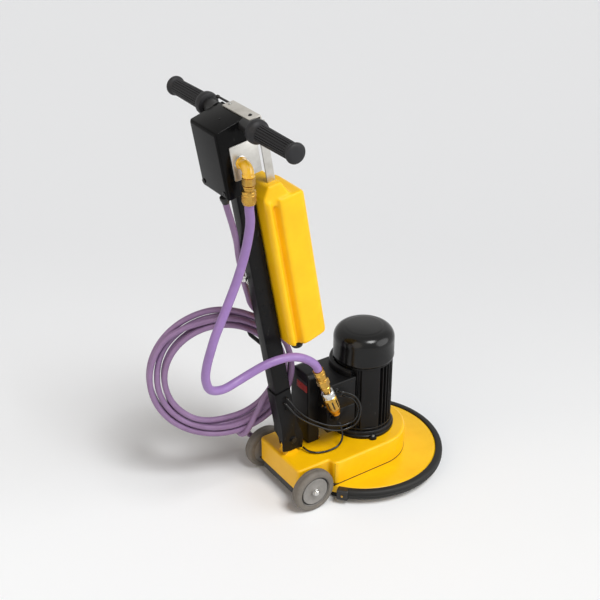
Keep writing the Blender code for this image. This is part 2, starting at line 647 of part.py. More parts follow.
def build_wheels(look):
    """The axle, and on each side a tyre, a hub and an axle cap; returns each wheel's moving pieces."""
    outer_x = WHEEL_INNER_X + WHEEL_WIDTH
    turned("axle", rod(AXLE_RADIUS, -outer_x, outer_x, 0.001), look["steel"],
           along_x(WHEEL_Y, WHEEL_RADIUS), 16)
    wheels = {}
    for side, sign in (("left", -1.0), ("right", 1.0)):
        place = along_x(WHEEL_Y, WHEEL_RADIUS)
        if sign < 0.0:
            place = place @ Matrix.Rotation(pi, 4, "X")
        inner, middle, outer = WHEEL_INNER_X, WHEEL_INNER_X + WHEEL_WIDTH / 2.0, outer_x
        tread = WHEEL_RADIUS
        tyre = turned(f"wheel_tyre_{side}", [
            (TYRE_BORE, outer), (tread - 0.007, outer), (tread, outer - 0.007), (tread, inner + 0.007),
            (tread - 0.007, inner), (TYRE_BORE, inner)], look["grey"], place, 36)
        bore = AXLE_RADIUS + GAP
        rim = TYRE_BORE - GAP
        web = 0.006
        hub = turned(f"wheel_hub_{side}", [
            (bore, outer), (0.014, outer), (0.017, middle + web), (rim - 0.006, middle + web),
            (rim - 0.003, outer - 0.002), (rim, outer - 0.002), (rim, inner), (bore, inner)],
            look["hub"], place, 28)
        base = outer_x + GAP
        turned(f"axle_cap_{side}", [
            (0.0, base + CAP_LENGTH), (CAP_RADIUS * 0.5, base + CAP_LENGTH * 0.93),
            (CAP_RADIUS * 0.85, base + CAP_LENGTH * 0.65),
            (CAP_RADIUS, base + CAP_LENGTH * 0.2), (CAP_RADIUS, base), (0.0, base)], look["steel"],
               place, 16)
        wheels[side] = [tyre, hub]
    return wheels


# ---- motor and reduction gear -----------------------------------------------------------------
def build_motor(look):
    """The motor's still pieces: flange, finned body, stator, bearings and cowl."""
    top = FLANGE_BOTTOM + FLANGE_THICKNESS
    seat = BEARING_RADIUS + GAP
    shaft_way = SHAFT_RADIUS + 4.0 * RUN
    ledge = top - BEARING_WIDTH - GAP
    flange = turned("motor_flange", [
        (seat, top), (FLANGE_RADIUS - 0.004, top), (FLANGE_RADIUS, top - 0.004),
        (FLANGE_RADIUS, FLANGE_BOTTOM),
        (shaft_way, FLANGE_BOTTOM), (shaft_way, ledge), (seat, ledge)], look["black"], segments=36)
    for count in range(FLANGE_LUGS):
        lug_place = Matrix.Rotation(FLANGE_LUG_ANGLE + 2.0 * pi * count / FLANGE_LUGS, 4, "Z")
        foot = prism(f"foot_shape_{count}", round_corners(
            [(FLANGE_RADIUS - 0.02, -0.013), (FLANGE_RADIUS + 0.013, -0.010), (FLANGE_RADIUS + 0.013,
                     0.010),
             (FLANGE_RADIUS - 0.02, 0.013)], [0.0, 0.006, 0.006, 0.0], 3),
            FLANGE_BOTTOM, FLANGE_BOTTOM + 0.010, look["black"], lug_place)
        combine(flange, foot, "UNION")
    outline = []
    for fin in range(FIN_COUNT):
        for share, radius in ((-0.20, MOTOR_CORE), (-0.14, MOTOR_RADIUS), (0.14, MOTOR_RADIUS),
                              (0.20, MOTOR_CORE)):
            angle = 2.0 * pi * (fin + share) / FIN_COUNT
            outline.append((radius * cos(angle), radius * sin(angle)))
    body = prism("motor_body", outline, BODY_BOTTOM, MOTOR_TOP, look["black"], smooth=25.0)
    bore = turned("motor_bore", rod(MOTOR_BORE, BODY_BOTTOM - 0.01, MOTOR_TOP - MOTOR_HEAD),
                  look["black"], segments=24)
    combine(body, bore)
    way = turned("bearing_way", rod(seat, MOTOR_TOP - 2.0 * MOTOR_HEAD, MOTOR_TOP + 0.01),
                 look["black"], segments=24)
    combine(body, way)
    middle = (BODY_BOTTOM + MOTOR_TOP - MOTOR_HEAD) / 2.0
    turned("stator", tube(MOTOR_BORE - GAP, STATOR_INNER, middle - STATOR_LENGTH / 2.0,
                          middle + STATOR_LENGTH / 2.0),
           look["copper"], segments=24)
    ring = SHAFT_RADIUS + GAP
    turned("motor_bearing_lower", tube(BEARING_RADIUS, ring, top - BEARING_WIDTH, top), look["steel"],
           segments=20)
    turned("motor_bearing_upper", tube(BEARING_RADIUS, ring, MOTOR_TOP - BEARING_WIDTH, MOTOR_TOP),
           look["steel"], segments=20)
    cowl = [(0.0, COWL_TOP), (COWL_FLAT, COWL_TOP - 0.0012)]
    drop = COWL_RADIUS - COWL_FLAT
    low = MOTOR_TOP + GAP
    round_top = arc((COWL_FLAT, COWL_TOP - 0.0012 - drop), drop, pi / 2.0, 0.0, 5)
    cowl += round_top[1:]
    cowl += [(COWL_RADIUS, low), (COWL_RADIUS - COWL_WALL, low)]
    inner_top = arc((COWL_FLAT, COWL_TOP - 0.0012 - drop), drop - COWL_WALL, 0.0, pi / 2.0, 5)
    cowl += inner_top + [(0.0, COWL_TOP - COWL_WALL)]
    turned("fan_cowl", cowl, look["black"], segments=32)


def build_rotor(look):
    """The rotor shaft, whose lower end is cut as the sun gear, and the fan on its upper end."""
    axis_top = MOTOR_TOP + 0.055
    middle = (BODY_BOTTOM + MOTOR_TOP - MOTOR_HEAD) / 2.0
    core = STATOR_LENGTH / 2.0
    shaft = turned("rotor_shaft", [
        (0.0, axis_top), (SHAFT_RADIUS, axis_top), (SHAFT_RADIUS, middle + core),
        (ROTOR_RADIUS, middle + core),
        (ROTOR_RADIUS, middle - core), (SHAFT_RADIUS, middle - core), (SHAFT_RADIUS, GEAR_TOP - 0.001),
        (0.0, GEAR_TOP - 0.001)],
        look["steel"], segments=24)
    sun = prism("sun_shape", gear_outline(SUN_TEETH, 0.0), GEAR_BOTTOM, GEAR_TOP, look["steel"])
    combine(shaft, sun, "UNION")
    hub_low, hub_high = MOTOR_TOP + 0.010, MOTOR_TOP + 0.045
    bore = SHAFT_RADIUS + GAP
    fan = turned("cooling_fan", [
        (bore, hub_high), (0.018, hub_high), (0.020, hub_low + 0.004), (FAN_RADIUS, hub_low + 0.004),
        (FAN_RADIUS, hub_low), (bore, hub_low)], look["plastic"], segments=24)
    for count in range(FAN_BLADES):
        blade = prism(f"blade_shape_{count}", [(0.016, -0.0012), (FAN_RADIUS - 0.001, -0.0012),
                                               (FAN_RADIUS - 0.001, 0.0012), (0.016, 0.0012)],
                      hub_low + 0.002, hub_high - 0.004, look["plastic"],
                      Matrix.Rotation(2.0 * pi * count / FAN_BLADES, 4, "Z"))
        combine(fan, blade, "UNION")
    return [shaft, fan]


def build_gear(look):
    """The toothed gear case, the planets and their carrier with the output shaft and its bearing."""
    case_outer = MODULE * (RING_TEETH / 2.0 + GEAR_DEPTH) + GEARCASE_WALL
    case = turned("ring_gear", rod(case_outer, HOUSING_BOTTOM, HOUSING_TOP - HOUSING_WALL - GAP),
                  look["steel"], segments=36)
    teeth = prism("ring_teeth", gear_outline(RING_TEETH, 0.0, inward=True), GEAR_BOTTOM - 0.004,
                  GEAR_TOP + 0.04, look["steel"])
    combine(case, teeth)
    well = turned("carrier_well", rod(CARRIER_RADIUS + 2.0 * RUN, HOUSING_BOTTOM - 0.01,
                                      GEAR_BOTTOM - 0.003), look["steel"], segments=36)
    combine(case, well)
    carrier_top = GEAR_BOTTOM - RUN
    carrier_low = carrier_top - CARRIER_THICKNESS
    carrier = turned("planet_carrier", [
        (0.0, carrier_top), (CARRIER_RADIUS, carrier_top), (CARRIER_RADIUS, carrier_low),
        (OUTPUT_RADIUS, carrier_low),
        (OUTPUT_RADIUS, PAD_THICKNESS + GAP + PLATE_THICKNESS / 2.0 + GAP),
        (0.0, PAD_THICKNESS + GAP + PLATE_THICKNESS / 2.0 + GAP)],
        look["steel"], segments=28)
    planets = []
    for count in range(PLANETS):
        angle = 2.0 * pi * count / PLANETS
        place = Matrix.Translation((PLANET_ORBIT * cos(angle), PLANET_ORBIT * sin(angle), 0.0))
        pin = turned(f"planet_pin_shape_{count}", rod(PLANET_PIN, carrier_top - 0.004,
                                                      GEAR_TOP + 0.002), look["steel"], place, 12)
        combine(carrier, pin, "UNION")
        outline = gear_outline(PLANET_TEETH, angle + pi / PLANET_TEETH)
        planet = prism(f"planet_gear_{count + 1}", outline, GEAR_BOTTOM, GEAR_TOP, look["steel"], place)
        bore = turned(f"planet_bore_{count}", rod(PLANET_PIN + GAP, GEAR_BOTTOM - 0.01,
                                                  GEAR_TOP + 0.01), look["steel"], place, 12)
        combine(planet, bore)
        planets.append(planet)
    seat_low = DECK_TOP - DECK_HUB_DEPTH
    turned("output_bearing", tube(OUTPUT_BEARING_RADIUS, OUTPUT_RADIUS + GAP, seat_low, DECK_TOP),
           look["steel"], segments=28)
    return carrier, planets


# ---- boxes behind the motor -------------------------------------------------------------------
def build_boxes(look):
    """The terminal box, the feed block with its elbow, and the upright capacitor box."""
    hug = MOTOR_RADIUS + GAP
    half_angle = asin(TERMINAL_RIGHT / hug)
    front = arc((0.0, 0.0), hug, -pi / 2.0 + half_angle, -pi + asin(0.9), 10)
    outline = [(TERMINAL_LEFT, TERMINAL_REAR), (TERMINAL_RIGHT, TERMINAL_REAR)] + front
    outline.append((TERMINAL_LEFT, front[-1][1]))
    prism("terminal_box", outline, TERMINAL_BOTTOM + GAP, TERMINAL_TOP, look["black"])
    clear = FLANGE_RADIUS + 0.016
    block = round_corners([(TERMINAL_LEFT + 0.010, TERMINAL_REAR), (TERMINAL_RIGHT, TERMINAL_REAR),
                           (TERMINAL_RIGHT, -clear),
                           (TERMINAL_LEFT + 0.010, -clear)], [0.0, 0.003, 0.003, 0.0], 2)
    prism("feed_block", block, FEED_BLOCK_BOTTOM, TERMINAL_BOTTOM, look["black"])
    face = TERMINAL_RIGHT + GAP
    spine = [(face, FEED_Y, FEED_Z), (face + FEED_STUB, FEED_Y, FEED_Z)]
    bow = arc((face + FEED_STUB, FEED_Z + FEED_BEND), FEED_BEND, -pi / 2.0, 0.0, 5)[1:]
    spine += [(x, FEED_Y, z) for x, z in bow]
    spine.append(FEED_KNEE - COUPLER_AIM * FEED_NECK)
    radii = [FEED_RADIUS] * len(spine)
    swept("feed_elbow", spine, radii, look["black"], sides=14)
    rear = TERMINAL_REAR - GAP - CAPACITOR_DEPTH
    face_outline = round_corners(
        [(CAPACITOR_LEFT + 0.022, HOUSING_TOP + GAP), (CAPACITOR_RIGHT, HOUSING_TOP + GAP),
         (CAPACITOR_RIGHT, CAPACITOR_TOP),
         (CAPACITOR_LEFT, CAPACITOR_TOP)], [0.004, 0.004, CAPACITOR_CORNER * 0.6, CAPACITOR_CORNER], 4)
    prism("capacitor_box", face_outline, rear, TERMINAL_REAR - GAP, look["black"], along="Y",
          edge=0.005)


# ---- handle -----------------------------------------------------------------------------------
def build_column(look, frame):
    """The column tube, the yoke round its foot and the hook for the coiled hose."""
    half_w, half_d = COLUMN_WIDTH / 2.0, COLUMN_DEPTH / 2.0
    corners = [(-half_w, -half_d), (half_w, -half_d), (half_w, half_d), (-half_w, half_d)]
    column = prism("column_tube", round_corners(corners, [0.004] * 4, 2), COLUMN_BOTTOM, COLUMN_TOP,
                   look["black"], frame)
    inside = [(x * (1.0 - COLUMN_WALL / half_w), y * (1.0 - COLUMN_WALL / half_d)) for x, y in corners]
    combine(column, prism("column_bore", inside, COLUMN_BOTTOM - 0.01, COLUMN_TOP + 0.01,
                          look["black"], frame))
    inner = half_w + GAP
    outer = inner + YOKE_WALL
    back = -half_d - GAP
    side = [(-0.040, -0.023), (-0.012, -0.033), (0.010, -0.034), (0.025, -0.043), (0.036, -0.002),
            (0.027, 0.040), (0.020, 0.080), (0.020, YOKE_TOP), (back - YOKE_WALL, YOKE_TOP),
            (back - YOKE_WALL, 0.055)]
    yoke = prism("yoke", side, -outer, outer, look["black"], frame, along="X")
    combine(yoke, prism("yoke_slot", [(-inner, back), (inner, back), (inner, 0.08), (-inner, 0.08)],
                        -0.08, YOKE_TOP + 0.02, look["black"], frame))
    web_gap = [(-0.08, -0.08), (0.08, -0.08), (0.08, 0.003), (-0.08, 0.003)]
    combine(yoke, prism("yoke_gap", web_gap, -inner, inner, look["black"], frame, along="X"))
    far_foot = [(-0.08, -0.08), (-0.022, -0.08), (-0.022, 0.010), (-0.08, 0.060)]
    combine(yoke, prism("yoke_trim", far_foot, -0.05, 0.0, look["black"], frame, along="X"))
    across = frame @ Matrix.Rotation(pi / 2.0, 4, "Y")
    combine(yoke, turned("yoke_pin_hole", rod(PIN_RADIUS + GAP, -0.05, 0.05), look["black"], across,
                         16))
    pieces = [column, yoke]
    axis = Vector((sin(COIL_AZIMUTH), -cos(COIL_AZIMUTH), 0.0))
    lay = Vector((cos(COIL_AZIMUTH), sin(COIL_AZIMUTH), 0.0))
    face_x = -half_w - GAP
    hook_y = COIL_CENTRE.y + 0.095
    from_axis = (hook_y - COIL_CENTRE.y) / lay.y
    hook_z = COIL_CENTRE.z + sqrt(COIL_INNER ** 2 - from_axis ** 2) - HOOK_RADIUS - HOOK_DROP
    tip = face_x - HOOK_LENGTH
    spine = [(face_x, hook_y, hook_z), (face_x - 0.006, hook_y, hook_z), (face_x - 0.0062, hook_y,
             hook_z)]
    spine += [(tip + 0.012, hook_y, hook_z), (tip + 0.004, hook_y, hook_z + 0.004),
              (tip, hook_y, hook_z + 0.012),
              (tip, hook_y, hook_z + HOOK_LIP)]
    radii = [0.014, 0.014] + [HOOK_RADIUS] * 5
    pieces.append(swept("hose_hook", spine, radii, look["black"], sides=12))
    return pieces, axis


def head_outline(inset):
    """The control box's side view (y, height), wrapped round the column's top and the handlebar."""
    behind = -COLUMN_DEPTH / 2.0 - YOKE_WALL - GAP - inset
    over = COLUMN_TOP + GAP + inset
    return [(HEAD_REAR + inset, HEAD_BOTTOM + inset), (behind, HEAD_BOTTOM + inset), (behind, over),
            (HEAD_FRONT - inset, over),
            (HEAD_FRONT - inset, HEAD_CREST - inset), (BAR_Q, HEAD_CREST - inset),
            (HEAD_REAR + inset, HEAD_TOP - inset)]


def head_block(name, look, frame):
    """The control box as one solid block, with its rear and top edges rounded."""
    block = prism(name, head_outline(0.0), HEAD_LEFT, HEAD_RIGHT, look["black"], frame, along="X")
    rounded = block.modifiers.new("Edges", "BEVEL")
    rounded.width = HEAD_EDGE
    rounded.segments = 2
    rounded.limit_method = "WEIGHT"
    weights = block.data.attributes.new("bevel_weight_edge", "FLOAT", "EDGE")
    for row, rim in enumerate(block.data.edges):
        ends = [block.data.vertices[index].co for index in rim.vertices]
        at_rear = max(point.y for point in ends) < HEAD_REAR + GAP
        weights.data[row].value = 1.0 if at_rear else 0.0
    return block


def head_slab(name, front, look, frame):
    """The space behind a given level of the control box, which divides the box from its cover."""
    outline = [(HEAD_REAR - 0.02, HEAD_BOTTOM - 0.02), (front, HEAD_BOTTOM - 0.02),
               (front, HEAD_CREST + 0.02),
               (HEAD_REAR - 0.02, HEAD_CREST + 0.02)]
    return prism(name, outline, HEAD_LEFT - 0.02, HEAD_RIGHT + 0.02, look["black"], frame, along="X")


def build_head(look, frame):
    """The control box and its cover, the handlebar with its clamp plate, and the grips."""
    across = frame @ Matrix.Translation((0.0, BAR_Q, BAR_H)) @ Matrix.Rotation(pi / 2.0, 4, "Y")
    box = head_block("control_box", look, frame)
    combine(box, head_slab("cover_space", HEAD_REAR + COVER_THICKNESS + GAP, look, frame))
    hollow = [(q if q > HEAD_REAR + HEAD_WALL + GAP else q - 0.01, h) for q,
              h in head_outline(HEAD_WALL)]
    combine(box, prism("box_hollow", hollow, HEAD_LEFT + HEAD_WALL, HEAD_RIGHT - HEAD_WALL,
                       look["black"], frame, along="X"))
    combine(box, turned("bar_hole", rod(BAR_RADIUS + GAP, -BAR_HALF, BAR_HALF), look["black"], across,
                        20))
    cover = head_block("control_box_cover", look, frame)
    combine(cover, head_slab("cover_keep", HEAD_REAR + COVER_THICKNESS, look, frame), "INTERSECT")
    low = HEAD_CREST + GAP
    top, inner = low + CLAMP_GAUGE, CLAMP_FRONT - CLAMP_GAUGE
    angle = [(CLAMP_REAR, low), (inner, low), (inner, top - CLAMP_SKIRT),
             (CLAMP_FRONT, top - CLAMP_SKIRT), (CLAMP_FRONT, top), (CLAMP_REAR, top)]
    plate = prism("clamp_plate", angle, CLAMP_LEFT, CLAMP_RIGHT, look["aluminium"], frame, along="X")
    foot = [(inner, CLAMP_FOOT + CLAMP_GAUGE), (HEAD_FRONT + GAP, CLAMP_FOOT + CLAMP_GAUGE),
            (HEAD_FRONT + GAP, CLAMP_FOOT), (CLAMP_FRONT, CLAMP_FOOT),
            (CLAMP_FRONT, top - 0.01), (inner, top - 0.01)]
    combine(plate, prism("clamp_foot", foot, CLAMP_LEFT + 0.001, HEAD_RIGHT - 0.004, look["aluminium"],
                         frame, along="X"), "UNION")
    bar = turned("handlebar", tube(BAR_RADIUS, BAR_RADIUS - BAR_WALL, -BAR_HALF, BAR_HALF),
                 look["black"], across, 20)
    pieces = [box, cover, plate, bar]
    for side, turn in (("left", pi), ("right", 0.0)):
        place = across @ Matrix.Rotation(turn, 4, "X")
        start, end = GRIP_START, BAR_HALF + GRIP_CAP
        bore = BAR_RADIUS + GAP
        profile = [(0.0, end), (GRIP_END - 0.005, end), (GRIP_END, end - 0.004),
                   (GRIP_END, end - 0.012), (GRIP_BODY - 0.0015, end - 0.018),
                   (GRIP_BODY, start + 0.022), (GRIP_COLLAR, start + 0.015),
                   (GRIP_COLLAR, start + 0.004), (GRIP_COLLAR - 0.003, start), (bore, start),
                   (bore, BAR_HALF + GAP), (0.0, BAR_HALF + GAP)]
        pieces.append(turned(f"grip_{side}", profile, look["rubber"], place, 20))
    return pieces


def build_valve(look, frame):
    """The aluminium side plate, and the elbow and swivel nut that start the feed hose."""
    face = HEAD_RIGHT + GAP
    outline = round_corners([(PLATE_Q0, PLATE_H0), (PLATE_Q1, PLATE_H0), (PLATE_Q1, PLATE_H1),
                             (PLATE_Q0, PLATE_H1)], [0.003] * 4, 2)
    plate = prism("valve_plate", outline, face, face + SIDE_PLATE, look["aluminium"], frame, along="X")
    across = frame @ Matrix.Translation((0.0, ELBOW_Q, ELBOW_H)) @ Matrix.Rotation(pi / 2.0, 4, "Y")
    combine(plate, turned("valve_hole", rod(ELBOW_TAIL + 0.001, 0.0, HEAD_RIGHT * 2.0),
                          look["aluminium"], across, 24))
    centre = frame @ Vector((0.0, ELBOW_Q, ELBOW_H))
    spine = [(face, centre.y, centre.z)]
    spine += [(x, centre.y, z) for x, z in arc((ELBOW_REACH - ELBOW_BEND, centre.z - ELBOW_BEND),
                                               ELBOW_BEND, pi / 2.0, 0.0, 6)]
    spine.append((ELBOW_REACH, centre.y, centre.z - ELBOW_DROP))
    radii = [ELBOW_TAIL, ELBOW_TAIL] + [ELBOW_RADIUS] * (len(spine) - 2)
    elbow = swept("valve_elbow", spine, radii, look["moulded"], sides=16)
    top = centre.z - ELBOW_DROP - GAP
    low = top - NUT_LENGTH
    nut = turned("hose_swivel_nut", [
        (0.0, top), (0.0125, top), (0.0165, top - 0.002), (0.0165, top - 0.022), (0.0150, top - 0.026),
        (0.0130, top - 0.030),
        (0.0150, top - 0.034), (NUT_RADIUS, top - 0.038), (NUT_RADIUS, top - 0.064), (0.0160, low),
        (0.0, low)],
        look["brass"], Matrix.Translation((ELBOW_REACH, centre.y, 0.0)), 18, flats=(2, 3))
    return [plate, elbow, nut]


def build_tank(look, frame):
    """The yellow solution tank, its hanger from the clamp and its drain cap."""
    half, rear, front = TANK_HALF, TANK_REAR, TANK_FRONT
    right = [(0.036, rear), (0.058, rear + 0.020), (0.0595, rear + 0.024), (0.0555, rear + 0.028),
             (0.0600, rear + 0.032), (half, rear + 0.037)]
    right += arc((half - 0.020, front - 0.020), 0.020, 0.0, pi / 2.0, 4)
    plan = right + [(-x, q) for x, q in reversed(right)]
    tank = prism("tank", plan, TANK_BOTTOM, TANK_TOP, look["moulded"], frame, smooth=40.0)
    keep_outline = [(rear - 0.05, TANK_BOTTOM + 0.012), (rear, TANK_BOTTOM + 0.012),
                    (rear + 0.025, TANK_BOTTOM), (rear + 0.062, TANK_BOTTOM),
                    (front - 0.006, TANK_BOTTOM + 0.007), (front, TANK_BOTTOM + 0.017),
                    (front + 0.05, TANK_BOTTOM + 0.017),
                    (front + 0.05, TANK_TOP - 0.010), (front, TANK_TOP - 0.010),
                    (front - 0.012, TANK_TOP), (rear - 0.05, TANK_TOP)]
    keep = prism("tank_keep", keep_outline, -0.1, 0.1, look["moulded"], frame, along="X")
    combine(tank, keep, "INTERSECT")
    neck_top = HANGER_BOTTOM - GAP
    neck = [(HANGER_Q0 - 0.022, TANK_TOP - 0.005), (HANGER_Q1 + 0.026, TANK_TOP - 0.005),
            (HANGER_Q1 + 0.008, neck_top), (HANGER_Q0 - 0.010, neck_top)]
    combine(tank, prism("tank_neck", neck, -TANK_NECK_HALF, TANK_NECK_HALF, look["moulded"], frame,
                        along="X", edge=0.003, steps=1), "UNION")
    meet = CLAMP_FRONT + GAP
    shoulder = HANGER_TOP - 0.030
    hanger_outline = [(meet, HANGER_TOP), (HANGER_Q1, HANGER_TOP), (HANGER_Q1, HANGER_BOTTOM),
                      (HANGER_Q0, HANGER_BOTTOM), (HANGER_Q0, shoulder), (meet, shoulder)]
    hanger = prism("tank_hanger", hanger_outline, HANGER_X, HANGER_X + HANGER_THICKNESS,
                   look["aluminium"], frame, along="X")
    cap = turned("drain_cap", [
        (0.0, -GAP), (0.0135, -GAP), (0.0135, -0.004), (0.0165, -0.0045), (0.0165, -0.013),
        (0.0145, -0.0155), (0.0, -0.0155)],
        look["plastic"], frame @ Matrix.Translation((DRAIN_X, DRAIN_Q, TANK_BOTTOM)), 20)
    return [tank, hanger], cap


def build_lever(look, frame):
    """The switch lever in front of the handlebar, hinged at the clamp plate's left end."""
    hinge = frame @ Matrix.Translation((CLAMP_LEFT - GAP - LEVER_RADIUS, LEVER_Q, LEVER_H))
    spine = [(LEVER_RADIUS, 0.0, 0.0), (-LEVER_RADIUS, 0.0, 0.0), (4.0 * LEVER_RADIUS - LEVER_LENGTH,
                                                                   0.0, 0.001),
             (3.0 * LEVER_RADIUS - LEVER_LENGTH, 0.0, 0.001), (LEVER_RADIUS - LEVER_LENGTH, 0.0,
                                                               0.001), (-LEVER_LENGTH, 0.0, 0.001)]
    radii = [LEVER_RADIUS, LEVER_RADIUS, LEVER_RADIUS, 1.5 * LEVER_RADIUS, 1.5 * LEVER_RADIUS,
             LEVER_RADIUS]
    return swept("switch_lever", spine, radii, look["plastic"], hinge, 12)


# ---- hoses, cables and fittings ---------------------------------------------------------------
def build_coupler(look):
    """The quick coupler on the feed hose: brass stem, sliding chrome sleeve and slotted body."""
    def along(*distances):
        return [COUPLER_START + COUPLER_AIM * distance for distance in distances]

    stem_end = SLEEVE_START - SLEEVE_TRAVEL - GAP
    swept("coupler_stem", along(GAP, 0.003, 0.036, 0.040, 0.042, 0.060, 0.062, stem_end),
          [0.0135, 0.0150, 0.0155, 0.0140, 0.0160, 0.0160, 0.0135, 0.0125],
          look["brass"], sides=18, flats=(4, 5))
    sleeve_end = SLEEVE_START + SLEEVE_LENGTH
    sleeve = swept("coupler_sleeve", along(SLEEVE_START, SLEEVE_START + 0.003, sleeve_end - 0.012,
                                           sleeve_end - 0.003, sleeve_end), [0.0160, 0.0182, 0.0186,
                   0.0182, 0.0160],
                   look["steel"], sides=18)
    neck = 0.0115
    combine(sleeve, swept("sleeve_bore", along(SLEEVE_START - 0.010, sleeve_end + 0.010),
                          [neck + 2.0 * GAP] * 2, look["steel"], sides=18))
    shoulder = sleeve_end + GAP
    swept("coupler_body", along(stem_end + GAP, shoulder, shoulder + GAP, shoulder + 0.004,
                                COUPLER_LENGTH - 0.024, COUPLER_LENGTH - 0.010, COUPLER_LENGTH - GAP),
          [neck, neck, 0.0180, 0.0195, 0.0200, 0.0165, 0.0130], look["brass"], sides=18)
    return sleeve


def build_cords(look, axis):
    """The feed hose, the coiled supply hose with its connector, and the three thin cables."""
    outlet = handle_frame() @ Vector((0.0, ELBOW_Q, ELBOW_H)) + Vector((ELBOW_REACH, 0.0,
            -ELBOW_DROP - NUT_LENGTH - 2.0 * GAP))
    lead_in = [tuple(outlet), tuple(outlet - Vector((0.0, 0.0, FEED_HOSE_DIAMETER / 2.0)))]
    lead_out = [tuple(COUPLER_START - COUPLER_AIM * FEED_HOSE_DIAMETER / 2.0), tuple(COUPLER_START)]
    cord("feed_hose", lead_in + FEED_ROUTE + lead_out, FEED_HOSE_DIAMETER, look["lilac"], 3)
    cord("supply_hose", SUPPLY_ROUTE, SUPPLY_HOSE_DIAMETER, look["lilac"], 3)
    soft = 0.008
    ring = [(COIL_INNER, COIL_HALF_WIDTH - soft), (COIL_INNER + soft, COIL_HALF_WIDTH),
            (COIL_OUTER - soft, COIL_HALF_WIDTH),
            (COIL_OUTER, COIL_HALF_WIDTH - soft), (COIL_OUTER, soft - COIL_HALF_WIDTH),
            (COIL_OUTER - soft, -COIL_HALF_WIDTH),
            (COIL_INNER + soft, -COIL_HALF_WIDTH), (COIL_INNER, soft - COIL_HALF_WIDTH)]
    place = Matrix.Translation(COIL_CENTRE) @ axis.to_track_quat("Z", "Y").to_matrix().to_4x4()
    turned("supply_coil", ring, look["lilac"], place, 36)
    end = Vector(TAIL_ROUTE[-1])
    lead = (CONNECTOR_AIM - end).normalized() * SUPPLY_HOSE_DIAMETER / 2.0
    cord("supply_tail", TAIL_ROUTE + [tuple(end + lead)], SUPPLY_HOSE_DIAMETER, look["lilac"], 3, 1.8)
    aim = lead.normalized()
    spine = [end + lead + aim * reach for reach in (GAP, 0.016, 0.018, 0.034, 0.036, 0.058)]
    swept("supply_connector", spine, [0.0100, 0.0108, 0.0120, 0.0120, 0.0085, 0.0080], look["brass"],
          sides=16, flats=(2, 3))
    cord("motor_cable_upper", CABLE_ONE_ROUTE, CABLE_DIAMETER, look["rubber"], 2, 3.5)
    cord("motor_cable_lower", CABLE_TWO_ROUTE, CABLE_DIAMETER, look["rubber"], 2, 3.5)
    cord("ground_lead", CABLE_THREE_ROUTE, CABLE_DIAMETER, look["rubber"], 2, 3.5)


# ---- assembly ---------------------------------------------------------------------------------
def main():
    """Clear the scene, build every piece and hang the moving ones on empties at their joints."""
    for old in list(bpy.data.objects):
        bpy.data.objects.remove(old, do_unlink=True)
    look = finishes()
    frame = handle_frame()
    disc = build_disc(look)
    build_deck(look)
    build_housing(look)
    wheels = build_wheels(look)
    build_motor(look)
    rotor = build_rotor(look)
    carrier, planets = build_gear(look)
    build_boxes(look)
    column, coil_axis = build_column(look, frame)
    head = build_head(look, frame)
    valve = build_valve(look, frame)
    tank, cap = build_tank(look, frame)
    lever = build_lever(look, frame)
    build_coupler(look)
    build_cords(look, coil_axis)
    disc_axis = joint_empty("disc_axis", (0.0, 0.0, 0.0))
    carry(disc_axis, disc + [carrier])
    for planet in planets:
        spindle = joint_empty(f"{planet.name}_axis", planet.matrix_world.translation)
        carry(spindle, [planet])
        carry(disc_axis, [spindle])
    carry(joint_empty("rotor_axis", (0.0, 0.0, 0.0)), rotor)
    for side, pieces in wheels.items():
        carry(joint_empty(f"wheel_axis_{side}", (0.0, WHEEL_Y, WHEEL_RADIUS)), pieces)
    tilt_axis = joint_empty("handle_axis", PIVOT, (TILT, 0.0, 0.0))
    carry(tilt_axis, column + head + valve + tank + [cap, lever])


main()
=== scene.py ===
"""Visual model of a walk-behind rotary floor machine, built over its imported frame.

Metres throughout: +Z up, +Y from the wheels towards the disc, +X to the machine's right. Each
sub-assembly is a class that holds its own sizes, models its pieces at the bench and hands them over
to the body that they move with.
"""

import logging
from dataclasses import dataclass
from enum import Enum
from math import cos, pi, radians, sin
from typing import Any, Callable, Iterable

import bpy
from mathutils import Matrix, Vector
from mathutils.geometry import interpolate_bezier


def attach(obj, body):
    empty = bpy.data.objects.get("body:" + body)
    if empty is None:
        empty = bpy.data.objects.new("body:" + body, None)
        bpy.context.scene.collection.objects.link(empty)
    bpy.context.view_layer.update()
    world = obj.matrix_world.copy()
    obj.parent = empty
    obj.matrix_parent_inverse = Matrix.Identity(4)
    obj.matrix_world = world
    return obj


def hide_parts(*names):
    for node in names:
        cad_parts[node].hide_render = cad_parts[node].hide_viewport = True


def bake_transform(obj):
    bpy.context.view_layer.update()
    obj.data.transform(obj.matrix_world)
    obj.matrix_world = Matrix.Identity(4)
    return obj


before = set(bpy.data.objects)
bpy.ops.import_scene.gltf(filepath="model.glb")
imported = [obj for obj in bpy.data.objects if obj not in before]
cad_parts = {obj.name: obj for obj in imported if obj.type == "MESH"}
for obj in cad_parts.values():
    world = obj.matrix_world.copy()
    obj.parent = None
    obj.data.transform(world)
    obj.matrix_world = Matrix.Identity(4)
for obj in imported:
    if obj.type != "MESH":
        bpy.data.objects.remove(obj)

log = logging.getLogger("floor_machine")

Piece = bpy.types.Object
Point = tuple[float, float, float]
Row = tuple[float, float]
EdgeTest = Callable[[Vector, Vector], bool]

# The clearance left between two pieces that seat on each other.
GAP = 0.0003


class Body(Enum):
    """The moving bodies that a piece can ride on."""

    CHASSIS = "chassis"
    HANDLE = "handle"
    DISC = "disc"
    WHEEL_LEFT = "wheel_left"
    WHEEL_RIGHT = "wheel_right"
    LEVER = "lever"
    DRAIN = "drain"
    COUPLER = "coupler_lock"


